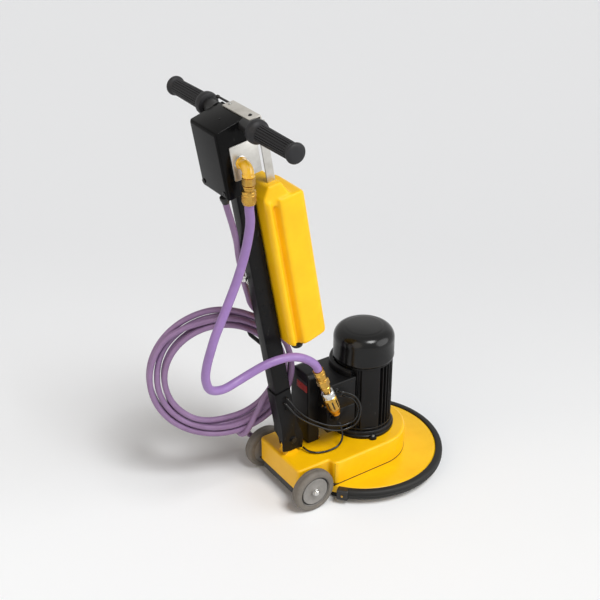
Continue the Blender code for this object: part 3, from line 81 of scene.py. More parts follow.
class Grain(Enum):
    """How a surface was made, as the scale of its fine pattern along x, y and z."""

    SPRAYED = (1.0, 1.0, 1.0)
    MOULDED = (0.9, 1.0, 1.1)
    CAST = (1.1, 0.9, 1.0)
    BRUSHED_ACROSS = (0.03, 1.0, 1.0)
    BRUSHED_UPRIGHT = (1.0, 1.0, 0.03)
    TURNED = (0.12, 0.12, 1.0)
    FIBROUS = (1.0, 1.0, 0.25)


# ---- finishes ----
def linear(hex_colour: str) -> tuple[float, float, float, float]:
    """Turns an sRGB hex colour into linear light.

    Args:
        hex_colour: The colour as #RRGGBB.

    Returns:
        Red, green, blue and an alpha of 1.
    """
    parts = [int(hex_colour[at:at + 2], 16) / 255.0 for at in (1, 3, 5)]
    light = [part / 12.92 if part <= 0.04045 else ((part + 0.055) / 1.055) ** 2.4 for part in parts]
    return (light[0], light[1], light[2], 1.0)


def add_node(tree: bpy.types.NodeTree, kind: str, settings: dict[str, Any] | None = None,
             inputs: dict[Any, Any] | None = None) -> bpy.types.Node:
    """Adds one shader node with its settings and its links.

    Args:
        tree: The material's node tree.
        kind: The node's type name.
        settings: Values for the node's own properties.
        inputs: A constant or an output socket for each named or numbered input.

    Returns:
        The new node.
    """
    node = tree.nodes.new(kind)
    for name, value in (settings or {}).items():
        setattr(node, name, value)
    for name, value in (inputs or {}).items():
        if isinstance(value, bpy.types.NodeSocket):
            tree.links.new(value, node.inputs[name])
        else:
            node.inputs[name].default_value = value
    return node


@dataclass(frozen=True)
class Finish:
    """One finish of the machine, from what it is made of to how it was made.

    The colour drifts a little towards the shade in patches, the roughness moves between two values
    with handling, and the fine grain raises the surface, on most by hundredths of a millimetre.
    """

    name: str
    slot: str
    colour: str
    shade: str
    roughness: tuple[float, float]
    grain: Grain = Grain.SPRAYED
    grain_mm: float = 1.5
    relief_mm: float = 0.02
    patch_mm: float = 60.0
    metallic: float = 0.0
    ior: float = 1.5
    coat: float = 0.0
    scuffs: float = 0.0
    scuff_colour: str = "#8A8A88"

    def material(self) -> bpy.types.Material:
        """The finish's material, made on its first use."""
        made = bpy.data.materials.get(self.name)
        return made if made else self.mix()

    def mix(self) -> bpy.types.Material:
        """Builds the finish's nodes.

        Returns:
            The new material.
        """
        material = bpy.data.materials.new(self.name)
        material.use_nodes = True
        tree = material.node_tree
        tree.nodes.clear()
        place = add_node(tree, "ShaderNodeTexCoord").outputs["Object"]
        laid = add_node(tree, "ShaderNodeMapping", None, {
            "Vector": place, "Scale": self.grain.value})
        fine = add_node(tree, "ShaderNodeTexNoise", None, {
            "Vector": laid.outputs["Vector"], "Scale": 1000.0 / self.grain_mm, "Detail": 3.0,
            "Roughness": 0.55})
        broad = add_node(tree, "ShaderNodeTexNoise", None, {
            "Vector": place, "Scale": 1000.0 / self.patch_mm, "Detail": 4.0, "Roughness": 0.6})
        drift = add_node(tree, "ShaderNodeMapRange", None, {
            "Value": broad.outputs["Fac"], "From Min": 0.35, "From Max": 0.68})
        tint = add_node(tree, "ShaderNodeMix", {"data_type": "RGBA"}, {
            0: drift.outputs["Result"], 6: linear(self.colour), 7: linear(self.shade)}).outputs[2]
        if self.scuffs:
            tint = self.scuffed(tree, place, tint)
        handled = add_node(tree, "ShaderNodeMath", {"operation": "MULTIPLY_ADD"}, {
            0: fine.outputs["Fac"], 1: 0.35, 2: broad.outputs["Fac"]})
        gloss = add_node(tree, "ShaderNodeMapRange", None, {
            "Value": handled.outputs["Value"], "From Min": 0.45, "From Max": 0.95,
            "To Min": self.roughness[0], "To Max": self.roughness[1]})
        bump = add_node(tree, "ShaderNodeBump", None, {
            "Strength": 1.0, "Distance": self.relief_mm / 1000.0, "Height": fine.outputs["Fac"]})
        surface = add_node(tree, "ShaderNodeBsdfPrincipled", None, {
            "Base Color": tint, "Roughness": gloss.outputs["Result"],
            "Normal": bump.outputs["Normal"], "Metallic": self.metallic, "IOR": self.ior,
            "Coat Weight": self.coat, "Coat Roughness": 0.12})
        add_node(tree, "ShaderNodeOutputMaterial", None, {"Surface": surface.outputs["BSDF"]})
        return material

    def scuffed(self, tree: bpy.types.NodeTree, place: bpy.types.NodeSocket,
                tint: bpy.types.NodeSocket) -> bpy.types.NodeSocket:
        """Adds sparse fine rubs, such as a shop floor leaves.

        Args:
            tree: The material's node tree.
            place: The surface's own coordinates.
            tint: The colour so far.

        Returns:
            The colour with the rubs on it.
        """
        long_way = add_node(tree, "ShaderNodeMapping", None, {
            "Vector": place, "Scale": (1.0, 0.35, 0.12), "Rotation": (0.5, 0.3, 0.9)})
        rubs = add_node(tree, "ShaderNodeTexNoise", None, {
            "Vector": long_way.outputs["Vector"], "Scale": 420.0, "Detail": 2.0})
        where = add_node(tree, "ShaderNodeMapRange", None, {
            "Value": rubs.outputs["Fac"], "From Min": 0.70, "From Max": 0.80,
            "To Max": self.scuffs})
        return add_node(tree, "ShaderNodeMix", {"data_type": "RGBA"}, {
            0: where.outputs["Result"], 6: tint, 7: linear(self.scuff_colour)}).outputs[2]


# Sprayed two-pack enamel on steel: a rich wet yellow with faint orange peel.
YELLOW_ENAMEL = Finish("yellow_enamel_on_steel", "yellow_enamel", "#F5BD05", "#EFB504",
                       (0.30, 0.44), grain_mm=2.2, relief_mm=0.030, ior=1.38, coat=0.08)
# The same enamel made a touch paler: painted light, a lit copy of the housing's enamel for the
# deck's upward face.
YELLOW_DECK_PAINTED_LIGHT = Finish("yellow_enamel_deck_painted_light", "yellow_enamel", "#F6C205", "#F0B904", (0.30, 0.44),
                     grain_mm=2.2, relief_mm=0.030, ior=1.38, coat=0.08)
# Rotation-moulded polyethylene: waxy, slightly paler, with a soft pebbled skin.
YELLOW_TANK = Finish("yellow_moulded_polyethylene", "yellow_moulding", "#F7C305", "#F2B904",
                     (0.36, 0.50), Grain.MOULDED, 1.8, 0.035, 90.0, ior=1.38)
# Lacquered pipe elbow: thick glossy paint over a casting.
YELLOW_LACQUER = Finish("yellow_lacquered_casting", "yellow_moulding", "#F8C20E", "#F0B40A",
                        (0.14, 0.26), Grain.CAST, 2.0, 0.05, 18.0, coat=0.8)
# Gloss enamel on a cast box: deep black that mirrors the room.
BLACK_GLOSS = Finish("black_gloss_enamel", "black_paint", "#0B0B0B", "#0F0F10", (0.13, 0.22),
                     grain_mm=2.6, relief_mm=0.022, ior=1.18, scuffs=0.10)
# Powder coat on steel section: black with a low even sheen.
BLACK_COATED = Finish("black_powder_coat", "black_paint", "#0F0F10", "#141415", (0.26, 0.38),
                      grain_mm=0.9, relief_mm=0.020, ior=1.22, scuffs=0.16)
# Painted aluminium casting: dull black over a slightly rough skin.
BLACK_CASTING = Finish("black_painted_casting", "black_paint", "#0C0C0D", "#121213", (0.30, 0.44),
                       Grain.CAST, 1.1, 0.045, ior=1.28, scuffs=0.08)
# Pressed steel cowl in satin black: smooth enough for a soft window of light.
BLACK_COWL = Finish("black_satin_pressing", "black_paint", "#090909", "#0C0C0D", (0.17, 0.23),
                    grain_mm=1.6, relief_mm=0.014, ior=1.38)
# Extruded rubber bumper: charcoal, matt, a little dusty.
BUMPER_RUBBER = Finish("black_bumper_rubber", "black_rubber", "#141414", "#1B1B1A", (0.50, 0.66),
                       Grain.MOULDED, 0.8, 0.030, 40.0, ior=1.38, scuffs=0.12,
                       scuff_colour="#6A6966")
# Moulded handgrip rubber: softer charcoal.
GRIP_RUBBER = Finish("black_grip_rubber", "black_rubber", "#1A1A1C", "#222225", (0.46, 0.60),
                     Grain.MOULDED, 0.6, 0.025, 25.0, ior=1.38)
# Flex sheath: smooth black plastic with a thin highlight.
CABLE_SHEATH = Finish("black_cable_sheath", "black_rubber", "#0C0C0D", "#121213", (0.16, 0.26),
                      Grain.MOULDED, 0.5, 0.010, 20.0, ior=1.42)
# Glass-filled nylon: dense black plastic.
BLACK_NYLON = Finish("black_moulded_nylon", "black_plastic", "#101011", "#161617", (0.36, 0.50),
                     Grain.MOULDED, 0.9, 0.025, 30.0)
# Non-marking grey rubber tyre: chalky, with dust in its pores.
TYRE_RUBBER = Finish("grey_tyre_rubber", "grey_tyre", "#706A62", "#645F58", (0.60, 0.78),
                     Grain.MOULDED, 0.9, 0.040, 22.0, scuffs=0.22, scuff_colour="#A29E96")
# Moulded wheel centre: paler grey nylon with a faint sheen.
HUB_NYLON = Finish("grey_hub_nylon", "grey_hub", "#85827E", "#7A7773", (0.42, 0.56),
                   Grain.MOULDED, 1.0, 0.025, 25.0)
# Mill-finish aluminium, brushed along the sheet.
ALUMINIUM_SHEET = Finish("brushed_aluminium_sheet", "aluminium", "#CFCDC8", "#BDBBB6", (0.30, 0.46),
                         Grain.BRUSHED_UPRIGHT, 0.5, 0.012, 30.0, metallic=1.0)
# The same sheet brushed along the handlebar.
ALUMINIUM_STRAP = Finish("brushed_aluminium_strap", "aluminium", "#CFCCC6", "#BFBCB6", (0.50, 0.62),
                         Grain.BRUSHED_ACROSS, 0.5, 0.012, 30.0, metallic=1.0)
# Turned brass: warm gold with fine rings from the lathe.
TURNED_BRASS = Finish("turned_brass", "brass", "#CBA24E", "#B88C40", (0.20, 0.32), Grain.TURNED,
                      1.2, 0.003, 12.0, metallic=1.0)
# Nickel-plated sleeve: bright and nearly white.
NICKEL = Finish("nickel_plate", "chrome", "#D6D5D2", "#C4C3C0", (0.12, 0.24), Grain.TURNED, 1.5,
                0.012, 15.0, metallic=1.0)
# Zinc-plated screws: pale grey metal.
ZINC = Finish("zinc_plated_steel", "bright_steel", "#B9BABA", "#A3A39F", (0.26, 0.40), Grain.CAST,
              0.8, 0.012, 8.0, metallic=1.0)
# Oiled black steel: a dark pin with a dull metal edge.
BLACKED_PIN = Finish("blackened_pin_steel", "bright_steel", "#2C2C2D", "#3A3A3A", (0.30, 0.44),
                     Grain.TURNED, 1.0, 0.010, 10.0, metallic=1.0)
# Ground and hobbed steel inside the machine.
GROUND_STEEL = Finish("ground_steel", "bright_steel", "#A9ABAD", "#95979A", (0.22, 0.36),
                      Grain.TURNED, 0.9, 0.010, 14.0, metallic=1.0)
# Varnished copper windings.
COPPER_VARNISH = Finish("varnished_copper_winding", "copper_winding", "#A5572B", "#7E3F1F",
                        (0.26, 0.42), Grain.TURNED, 1.3, 0.15, 18.0, coat=0.3)
# Plasticised hose wall: soft lilac with a waxy sheen.
HOSE_WALL = Finish("lilac_hose_wall", "lilac_hose", "#9373AE", "#8B6BA6", (0.34, 0.48),
                   Grain.MOULDED, 1.4, 0.020, 35.0)
# The same hose wall, darker and greyer: painted shade for the long supply hose, whose coil hangs in
# the machine's shade.
HOSE_SHADED = Finish("lilac_hose_painted_shade", "lilac_hose", "#8D7097", "#84678D", (0.38, 0.52),
                   Grain.MOULDED, 1.4, 0.020, 35.0)
# Scouring pad: coarse dark fibres bonded in layers.
PAD_FIBRES = Finish("scouring_pad_fibres", "pad_fibre", "#2B2B2A", "#171716", (0.85, 0.95),
                    Grain.FIBROUS, 1.6, 0.9, 12.0)
# Blank plate of red film.
RED_FILM = Finish("blank_red_film", "yellow_moulding", "#B3221B", "#A01C16", (0.26, 0.38),
                  grain_mm=1.2, relief_mm=0.006, patch_mm=15.0)


# ---- bench ----
class Bench:
    """The modelling steps that the sub-assemblies share, done with Blender's own operators."""

    @staticmethod
    def hold(*pieces: Piece) -> None:
        """Selects only these pieces and makes the first one active.

        Args:
            pieces: The pieces to hold.
        """
        bpy.ops.object.select_all(action="DESELECT")
        for piece in pieces:
            piece.select_set(True)
        bpy.context.view_layer.objects.active = pieces[0]

    @staticmethod
    def edit(piece: Piece) -> None:
        """Opens a piece in edit mode with all of it selected.

        Args:
            piece: The piece to open.
        """
        Bench.hold(piece)
        bpy.ops.object.mode_set(mode="EDIT")
        bpy.ops.mesh.select_all(action="SELECT")

    @staticmethod
    def worked(piece: Piece, kind: str, **settings: Any) -> Piece:
        """Gives a piece one modifier and applies it.

        Args:
            piece: The piece to work on.
            kind: The modifier's type name.
            settings: Values for the modifier's own properties.

        Returns:
            The same piece.
        """
        Bench.hold(piece)
        bpy.ops.object.modifier_add(type=kind)
        modifier = piece.modifiers[-1]
        for name, value in settings.items():
            setattr(modifier, name, value)
        bpy.ops.object.modifier_apply(modifier=modifier.name)
        return piece

    @staticmethod
    def chain(name: str, points: Iterable[Point], closed: bool = False) -> Piece:
        """Draws a line of vertices by extruding one vertex from point to point.

        Args:
            name: The new piece's name.
            points: The places that the line goes through.
            closed: Whether the line closes into a face.

        Returns:
            The piece, in object mode.
        """
        places = [Vector(point) for point in points]
        bpy.ops.object.select_all(action="DESELECT")
        bpy.ops.mesh.primitive_plane_add(size=0.01, location=(0.0, 0.0, 0.0))
        piece = bpy.context.object
        piece.name = name
        bpy.ops.object.mode_set(mode="EDIT")
        bpy.ops.mesh.select_mode(type="VERT")
        bpy.ops.mesh.select_all(action="SELECT")
        bpy.ops.mesh.merge(type="CENTER")
        bpy.ops.transform.translate(value=places[0])
        for before, after in zip(places, places[1:]):
            bpy.ops.mesh.extrude_region_move(TRANSFORM_OT_translate={"value": after - before})
        bpy.ops.mesh.select_all(action="SELECT")
        if closed:
            bpy.ops.mesh.edge_face_add()
        bpy.ops.object.mode_set(mode="OBJECT")
        return piece

    @staticmethod
    def heal(piece: Piece) -> Piece:
        """Merges doubled vertices and turns every face outwards.

        Args:
            piece: The piece to mend.

        Returns:
            The same piece.
        """
        Bench.edit(piece)
        bpy.ops.mesh.remove_doubles(threshold=0.000005)
        bpy.ops.mesh.normals_make_consistent(inside=False)
        bpy.ops.object.mode_set(mode="OBJECT")
        return piece

    @staticmethod
    def turned(name: str, rows: Iterable[Row], steps: int, span: float = 2.0 * pi,
               start: float = 0.0) -> Piece:
        """Spins a profile round the z axis.

        Args:
            name: The new piece's name.
            rows: Radius and height of each point of the profile.
            steps: How many steps the spin takes.
            span: The angle that it turns through.
            start: The angle at which it begins.

        Returns:
            The turned piece, closed where the profile meets the axis or itself.
        """
        piece = Bench.chain(name, [(reach, 0.0, height) for reach, height in rows])
        if start:
            Bench.place(piece, Matrix.Rotation(start, 4, "Z"))
        Bench.edit(piece)
        bpy.ops.mesh.spin(steps=steps, angle=-span, center=(0.0, 0.0, 0.0), axis=(0.0, 0.0, 1.0))
        bpy.ops.object.mode_set(mode="OBJECT")
        return Bench.heal(piece)

    @staticmethod
    def ring(name: str, rows: list[Row], steps: int, span: float = 2.0 * pi,
             start: float = 0.0) -> Piece:
        """Spins a closed section round the z axis and caps its ends where the turn is not whole.

        Args:
            name: The new piece's name.
            rows: Radius and height round the section.
            steps: How many steps the spin takes.
            span: The angle that it turns through.
            start: The angle at which it begins.

        Returns:
            The ring or the part of one.
        """
        piece = Bench.turned(name, [*rows, rows[0]], steps, span, start)
        if span < 2.0 * pi - 0.001:
            Bench.edit(piece)
            bpy.ops.mesh.fill_holes(sides=0)
            bpy.ops.object.mode_set(mode="OBJECT")
            Bench.heal(piece)
        return piece

    @staticmethod
    def rod(name: str, radius: float, low: float, high: float, steps: int) -> Piece:
        """A plain round rod on the z axis, to drill a hole with or to dress as a bar."""
        return Bench.turned(name, [(0.0, low), (radius, low), (radius, high), (0.0, high)], steps)

    @staticmethod
    def slab(name: str, outline: Iterable[Row], low: float, high: float) -> Piece:
        """Raises a flat outline into a solid.

        Args:
            name: The new piece's name.
            outline: The x and y of each corner.
            low: The height of its underside.
            high: The height of its top.

        Returns:
            The solid.
        """
        piece = Bench.chain(name, [(x, y, low) for x, y in outline], closed=True)
        Bench.edit(piece)
        bpy.ops.mesh.extrude_region_move(TRANSFORM_OT_translate={"value": (0.0, 0.0, high - low)})
        bpy.ops.object.mode_set(mode="OBJECT")
        return Bench.heal(piece)

    @staticmethod
    def side_slab(name: str, outline: Iterable[Row], left: float, right: float) -> Piece:
        """Raises a side view, given as y and z, into a solid from one x to another."""
        piece = Bench.slab(name, outline, left, right)
        return Bench.place(piece, Matrix(((0, 0, 1, 0), (1, 0, 0, 0), (0, 1, 0, 0), (0, 0, 0, 1))))

    @staticmethod
    def block(name: str, low: Point, high: Point) -> Piece:
        """Adds a box between two corners, to be cut or rounded later.

        Args:
            name: The new piece's name.
            low: Its lowest corner.
            high: Its highest corner.

        Returns:
            The box.
        """
        bpy.ops.object.select_all(action="DESELECT")
        middle = (Vector(low) + Vector(high)) / 2.0
        bpy.ops.mesh.primitive_cube_add(size=1.0, location=middle,
                                        scale=Vector(high) - Vector(low))
        piece = bpy.context.object
        piece.name = name
        return Bench.place(piece, Matrix.Identity(4))

    @staticmethod
    def place(piece: Piece, matrix: Matrix) -> Piece:
        """Moves a piece and puts the move into its mesh, so that its object is at the origin.

        Args:
            piece: The piece to move.
            matrix: The move.

        Returns:
            The same piece.
        """
        piece.matrix_world = matrix @ piece.matrix_world
        Bench.hold(piece)
        bpy.ops.object.transform_apply(location=True, rotation=True, scale=True)
        return piece

    @staticmethod
    def copied(piece: Piece, name: str, matrix: Matrix) -> Piece:
        """Copies a piece, mesh and all, and moves the copy.

        Args:
            piece: The piece to copy.
            name: The copy's name.
            matrix: The move.

        Returns:
            The copy.
        """
        Bench.hold(piece)
        bpy.ops.object.duplicate(linked=False)
        twin = bpy.context.object
        twin.name = name
        return Bench.place(twin, matrix)

    @staticmethod
    def rounded(piece: Piece, chosen: EdgeTest, width: float, segments: int) -> Piece:
        """Bevels the edges whose two ends pass a test.

        Args:
            piece: The piece to round.
            chosen: Takes an edge's ends and says whether it is rounded.
            width: How far the bevel reaches on each side.
            segments: How many faces it has.

        Returns:
            The same piece.
        """
        Bench.hold(piece)
        bpy.ops.object.mode_set(mode="EDIT")
        bpy.ops.mesh.select_mode(type="EDGE")
        bpy.ops.mesh.select_all(action="DESELECT")
        bpy.ops.object.mode_set(mode="OBJECT")
        points = piece.data.vertices
        for edge in piece.data.edges:
            edge.select = chosen(points[edge.vertices[0]].co, points[edge.vertices[1]].co)
        bpy.ops.object.mode_set(mode="EDIT")
        bpy.ops.mesh.bevel(offset=width, segments=segments, affect="EDGES", clamp_overlap=True)
        bpy.ops.object.mode_set(mode="OBJECT")
        return piece

    @staticmethod
    def softened(piece: Piece, width: float, segments: int, angle: float = 30.0) -> Piece:
        """Rounds every edge sharper than an angle, in degrees, with an applied bevel."""
        return Bench.worked(piece, "BEVEL", width=width, segments=segments, limit_method="ANGLE",
                            angle_limit=radians(angle), miter_outer="MITER_ARC")

    @staticmethod
    def carved(piece: Piece, *tools: Piece, how: str = "DIFFERENCE") -> Piece:
        """Cuts tools out of a piece, or joins them to it as one solid.

        Args:
            piece: The piece to cut.
            tools: The shapes to cut it with, which are used up.
            how: The Boolean modifier's name for what is done.

        Returns:
            The same piece.
        """
        for tool in tools:
            Bench.worked(piece, "BOOLEAN", operation=how, solver="EXACT", object=tool)
            bpy.data.objects.remove(tool)
        return piece

    @staticmethod
    def together(name: str, *pieces: Piece) -> Piece:
        """Joins loose shells into one piece.

        Args:
            name: The joined piece's name.
            pieces: The shells, of which the first takes in the others.

        Returns:
            The joined piece.
        """
        Bench.hold(*pieces)
        bpy.ops.object.join()
        bpy.context.object.name = name
        return bpy.context.object

    @staticmethod
    def round_about(piece: Piece, count: int) -> Piece:
        """Repeats a piece's mesh evenly round the z axis.

        Args:
            piece: The shape to repeat.
            count: How many there are in all.

        Returns:
            The same piece, now with every copy.
        """
        gap = 2.0 * pi / count
        copies = [Bench.copied(piece, "copy", Matrix.Rotation(gap * number, 4, "Z"))
                  for number in range(1, count)]
        return Bench.together(piece.name, piece, *copies)

    @staticmethod
    def wire(name: str, points: Iterable[Point], radius: float, sides: int) -> Piece:
        """Lays a round bar along points and makes it a mesh with closed ends.

        Args:
            name: The bar's name.
            points: The places that its middle goes through.
            radius: Half its thickness.
            sides: Its bevel resolution.

        Returns:
            The mesh.
        """
        line = Bench.line(name, points, radius, sides)
        Bench.hold(line)
        bpy.ops.object.convert(target="MESH")
        return Bench.heal(bpy.context.object)

    @staticmethod
    def line(name: str, points: Iterable[Point], radius: float, sides: int) -> Piece:
        """Draws a round curve of one open spline through points.

        Args:
            name: The curve's name.
            points: The places that its middle goes through.
            radius: Half its thickness.
            sides: Its bevel resolution.

        Returns:
            The curve object.
        """
        places = list(points)
        curve = bpy.data.curves.new(name, "CURVE")
        curve.dimensions = "3D"
        curve.bevel_depth = radius
        curve.bevel_resolution = sides
        curve.use_fill_caps = True
        spline = curve.splines.new("POLY")
        spline.points.add(len(places) - 1)
        for point, place in zip(spline.points, places):
            point.co = (*place, 1.0)
        spline.use_smooth = True
        piece = bpy.data.objects.new(name, curve)
        bpy.context.scene.collection.objects.link(piece)
        return piece

    @staticmethod
    def screw(name: str, radius: float, height: float, hexagon: bool = True) -> Piece:
        """Makes a screw head that stands on z = 0.

        Args:
            name: The new piece's name.
            radius: Half its width.
            height: How far it stands up.
            hexagon: Whether it is a hexagon on a washer; if not, it is round with a socket.

        Returns:
            The head.
        """
        bpy.ops.object.select_all(action="DESELECT")
        bpy.ops.mesh.primitive_cylinder_add(vertices=6 if hexagon else 32, radius=radius,
                                            depth=height, location=(0.0, 0.0, height / 2.0))
        head = bpy.context.object
        head.name = name
        Bench.place(head, Matrix.Identity(4))
        Bench.softened(head, min(radius, height) * 0.16, 2, 40.0)
        if hexagon:
            seat = Bench.turned("washer", [
                (0.0, 0.0), (radius * 1.35, 0.0), (radius * 1.35, height * 0.16),
                (radius * 1.25, height * 0.22), (0.0, height * 0.22)], 32)
            return Bench.together(name, head, seat)
        bpy.ops.mesh.primitive_cylinder_add(vertices=6, radius=radius * 0.5, depth=height,
                                            location=(0.0, 0.0, height))
        return Bench.carved(head, bpy.context.object)


def towards(direction: Vector, at: Vector) -> Matrix:
    """A frame at a point whose z axis looks along a direction."""
    return Matrix.Translation(at) @ direction.to_track_quat("Z", "Y").to_matrix().to_4x4()


def along_x(x: float, y: float, z: float, left: bool = False) -> Matrix:
    """A frame at a point whose z axis looks to the machine's right, or to its left."""
    return towards(Vector((-1.0 if left else 1.0, 0.0, 0.0)), Vector((x, y, z)))


def arc(centre: Row, radius: float, start: float, end: float, steps: int) -> list[Row]:
    """Points of an arc, both ends included.

    Args:
        centre: The middle of the arc.
        radius: Its radius.
        start: The angle of its first point.
        end: The angle of its last point.
        steps: How many steps lie between them.

    Returns:
        The points.
    """
    turn = (end - start) / steps
    return [(centre[0] + radius * cos(start + turn * step),
             centre[1] + radius * sin(start + turn * step)) for step in range(steps + 1)]


def upright(least: float, where: Callable[[Vector], bool] = lambda at: True) -> EdgeTest:
    """Picks the edges that rise by more than a height, where their place passes a test."""
    return lambda a, b: abs(a.z - b.z) > least and where(a)


def above(height: float) -> EdgeTest:
    """Picks the edges that lie wholly above a height."""
    return lambda a, b: min(a.z, b.z) > height


@dataclass
class Assembly:
    """What every sub-assembly shares: the way a finished piece is handed over."""

    def dress(self, piece: Piece, finish: Finish) -> None:
        """Gives a piece one finish in place of whatever it had."""
        piece.data.materials.clear()
        piece.data.materials.append(finish.material())

    def hand_over(self, piece: Piece, body: Body | None, finish: Finish,
                  stands_for: Iterable[str] = (), crease: float = 35.0) -> Piece:
        """Shades, dresses and fits a piece to the body that it moves with.

        Args:
            piece: The finished mesh or curve.
            body: The body that it rides on, or None for a piece that runs across a joint and rides
                on no body.
            finish: Its finish.
            stands_for: The frame's nodes that it replaces.
            crease: Edges sharper than this angle stay sharp.

        Returns:
            The same piece.
        """
        if piece.type == "MESH":
            Bench.hold(piece)
            bpy.ops.object.shade_smooth_by_angle(angle=radians(crease))
        self.dress(piece, finish)
        if body is not None:
            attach(piece, body.value)
        if stands_for:
            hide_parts(*stands_for)
        log.info("%s is ready in %s", piece.name, finish.name)
        return piece

    def lean(self, piece: Piece, finish: Finish, stands_for: Iterable[str] = (),
             crease: float = 35.0) -> None:
        """Tilts a piece that was made upright back with the handle, and hands it over."""
        self.hand_over(Bench.place(piece, LEAN), Body.HANDLE, finish, stands_for, crease)

    def keep(self, node: str, finish: Finish) -> None:
        """Dresses one of the frame's own nodes, where its shape is right as it is."""
        self.dress(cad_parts[node], finish)
        log.info("%s keeps its frame shape in %s", node, finish.name)

    def drive(self, name: str, size: Row, at: Matrix, body: Body, finish: Finish,
              hexagon: bool = True) -> None:
        """Makes a screw head, seats it and hands it over.

        Args:
            name: The head's name.
            size: Half its width, and its height.
            at: The frame that it is seated in, with z outwards.
            body: The body that it rides on.
            finish: Its finish.
            hexagon: Whether it is a hexagon; if not, it is round with a socket.
        """
        head = Bench.screw(name, *size, hexagon)
        self.hand_over(Bench.place(head, at), body, finish)


# ---- studio ----
@dataclass
class Studio(Assembly):
    """A pale floor, soft lamps and the camera."""

    azimuth: float = radians(56.09)
    elevation: float = radians(29.29)
    eye: Point = (2.2881, -1.7629, 2.1655)
    lens: float = 69.24
    sensor: float = 36.0
    floor_half: float = 30.0
    air_light: float = 0.15
    air_seen: float = 0.76

    def build(self) -> None:
        """Sets the camera, then the floor, the lamps and the air."""
        bpy.ops.object.camera_add(location=self.eye,
                                  rotation=(pi / 2.0 - self.elevation, 0.0, self.azimuth))
        camera = bpy.context.object
        camera.data.lens = self.lens
        camera.data.sensor_width = self.sensor
        bpy.context.scene.camera = camera
        bpy.context.scene.view_settings.view_transform = "Standard"
        self.floor()
        self.sun("key_light", (0.50, 0.05, 0.86), 22.0, 2.1)
        self.sun("side_light", (0.72, 0.60, 0.35), 50.0, 1.45)
        self.sun("back_light", (-0.62, 0.74, 0.26), 50.0, 0.12)
        self.sun("rear_fill", (0.20, -0.88, 0.42), 60.0, 0.88, "#FFEFDC")
        self.air()

    def air(self) -> None:
        """The pale world: dim where it lights the machine, bright where it is seen or mirrored."""
        world = bpy.data.worlds.new("studio_air")
        bpy.context.scene.world = world
        world.use_nodes = True
        world.node_tree.nodes.clear()
        tree = world.node_tree
        ray = add_node(tree, "ShaderNodeLightPath", None, {})
        mirrored = add_node(tree, "ShaderNodeMath", {"operation": "MAXIMUM"}, {
            0: ray.outputs["Is Glossy Ray"], 1: ray.outputs["Is Transmission Ray"]})
        seen = add_node(tree, "ShaderNodeMath", {"operation": "MAXIMUM"}, {
            0: ray.outputs["Is Camera Ray"], 1: mirrored.outputs["Value"]})
        level = add_node(tree, "ShaderNodeMapRange", None, {
            "Value": seen.outputs["Value"], "To Min": self.air_light, "To Max": self.air_seen})
        air = add_node(tree, "ShaderNodeBackground", None, {
            "Color": linear("#F6F5F3"), "Strength": level.outputs["Result"]})
        add_node(tree, "ShaderNodeOutputWorld", None, {"Surface": air.outputs["Background"]})

    def floor(self) -> None:
        """A wide sheet of paper whose colour darkens a little towards the back: painted shade for
        the light's falloff.
        """
        bpy.ops.object.select_all(action="DESELECT")
        bpy.ops.mesh.primitive_plane_add(size=2.0 * self.floor_half, location=(0.0, 0.0, 0.0))
        sheet = bpy.context.object
        sheet.name = "paper_floor"
        material = bpy.data.materials.new("studio_paper")
        material.use_nodes = True
        tree = material.node_tree
        tree.nodes.clear()
        place = add_node(tree, "ShaderNodeTexCoord").outputs["Object"]
        # Painted shade: the paper's colour darkens from front to back, where the lamps would light
        # it less.
        depth = add_node(tree, "ShaderNodeVectorMath", {"operation": "DOT_PRODUCT"},
                         {0: place, 1: (-sin(self.azimuth), cos(self.azimuth), 0.0)})
        far = add_node(tree, "ShaderNodeMapRange", {"interpolation_type": "SMOOTHSTEP"}, {
            "Value": depth.outputs["Value"], "From Min": -1.0, "From Max": 1.6})
        tint = add_node(tree, "ShaderNodeMix", {"data_type": "RGBA"}, {
            0: far.outputs["Result"], 6: linear("#F9FBFD"), 7: linear("#E3E5E8")})
        paper = add_node(tree, "ShaderNodeBsdfPrincipled", None, {
            "Base Color": tint.outputs[2], "Roughness": 0.85, "Specular IOR Level": 0.15})
        add_node(tree, "ShaderNodeOutputMaterial", None, {"Surface": paper.outputs["BSDF"]})
        sheet.data.materials.append(material)

    def sun(self, name: str, toward: Point, spread: float, power: float,
            tint: str = "#FFFFFF") -> None:
        """Lights everything evenly from one side, as a far and very large lamp does.

        Args:
            name: The lamp's name.
            toward: The direction from the object to the lamp.
            spread: How wide the lamp looks, in degrees; a wider one gives softer shadows.
            power: The light that it gives, in watts per square metre.
            tint: Its colour.
        """
        aim = Vector(toward).to_track_quat("Z", "Y").to_euler()
        bpy.ops.object.light_add(type="SUN", location=Vector(toward) * 4.0, rotation=aim)
        light = bpy.context.object
        light.name = name
        light.data.angle = radians(spread)
        light.data.energy = power
        light.data.color = linear(tint)[:3]


# ---- shared places ----
REARWARDS = Vector((0.0, -1.0, 0.0))
# The wheels' axle, as y and z.
AXLE: Row = (-0.2655, 0.066)
# The leaning handle's own frame: its pivot, and its tilt back from upright.
PIVOT = Vector((0.0, -0.2643, 0.1774))
LEAN = Matrix.Translation(PIVOT) @ Matrix.Rotation(radians(9.7), 4, "X")


def heading(before: Vector, here: Vector, after: Vector) -> Vector:
    """The direction of a smooth curve at a point, led by the shorter of its two spans."""
    back, ahead = here - before, after - here
    return (back.normalized() * ahead.length + ahead.normalized() * back.length).normalized()


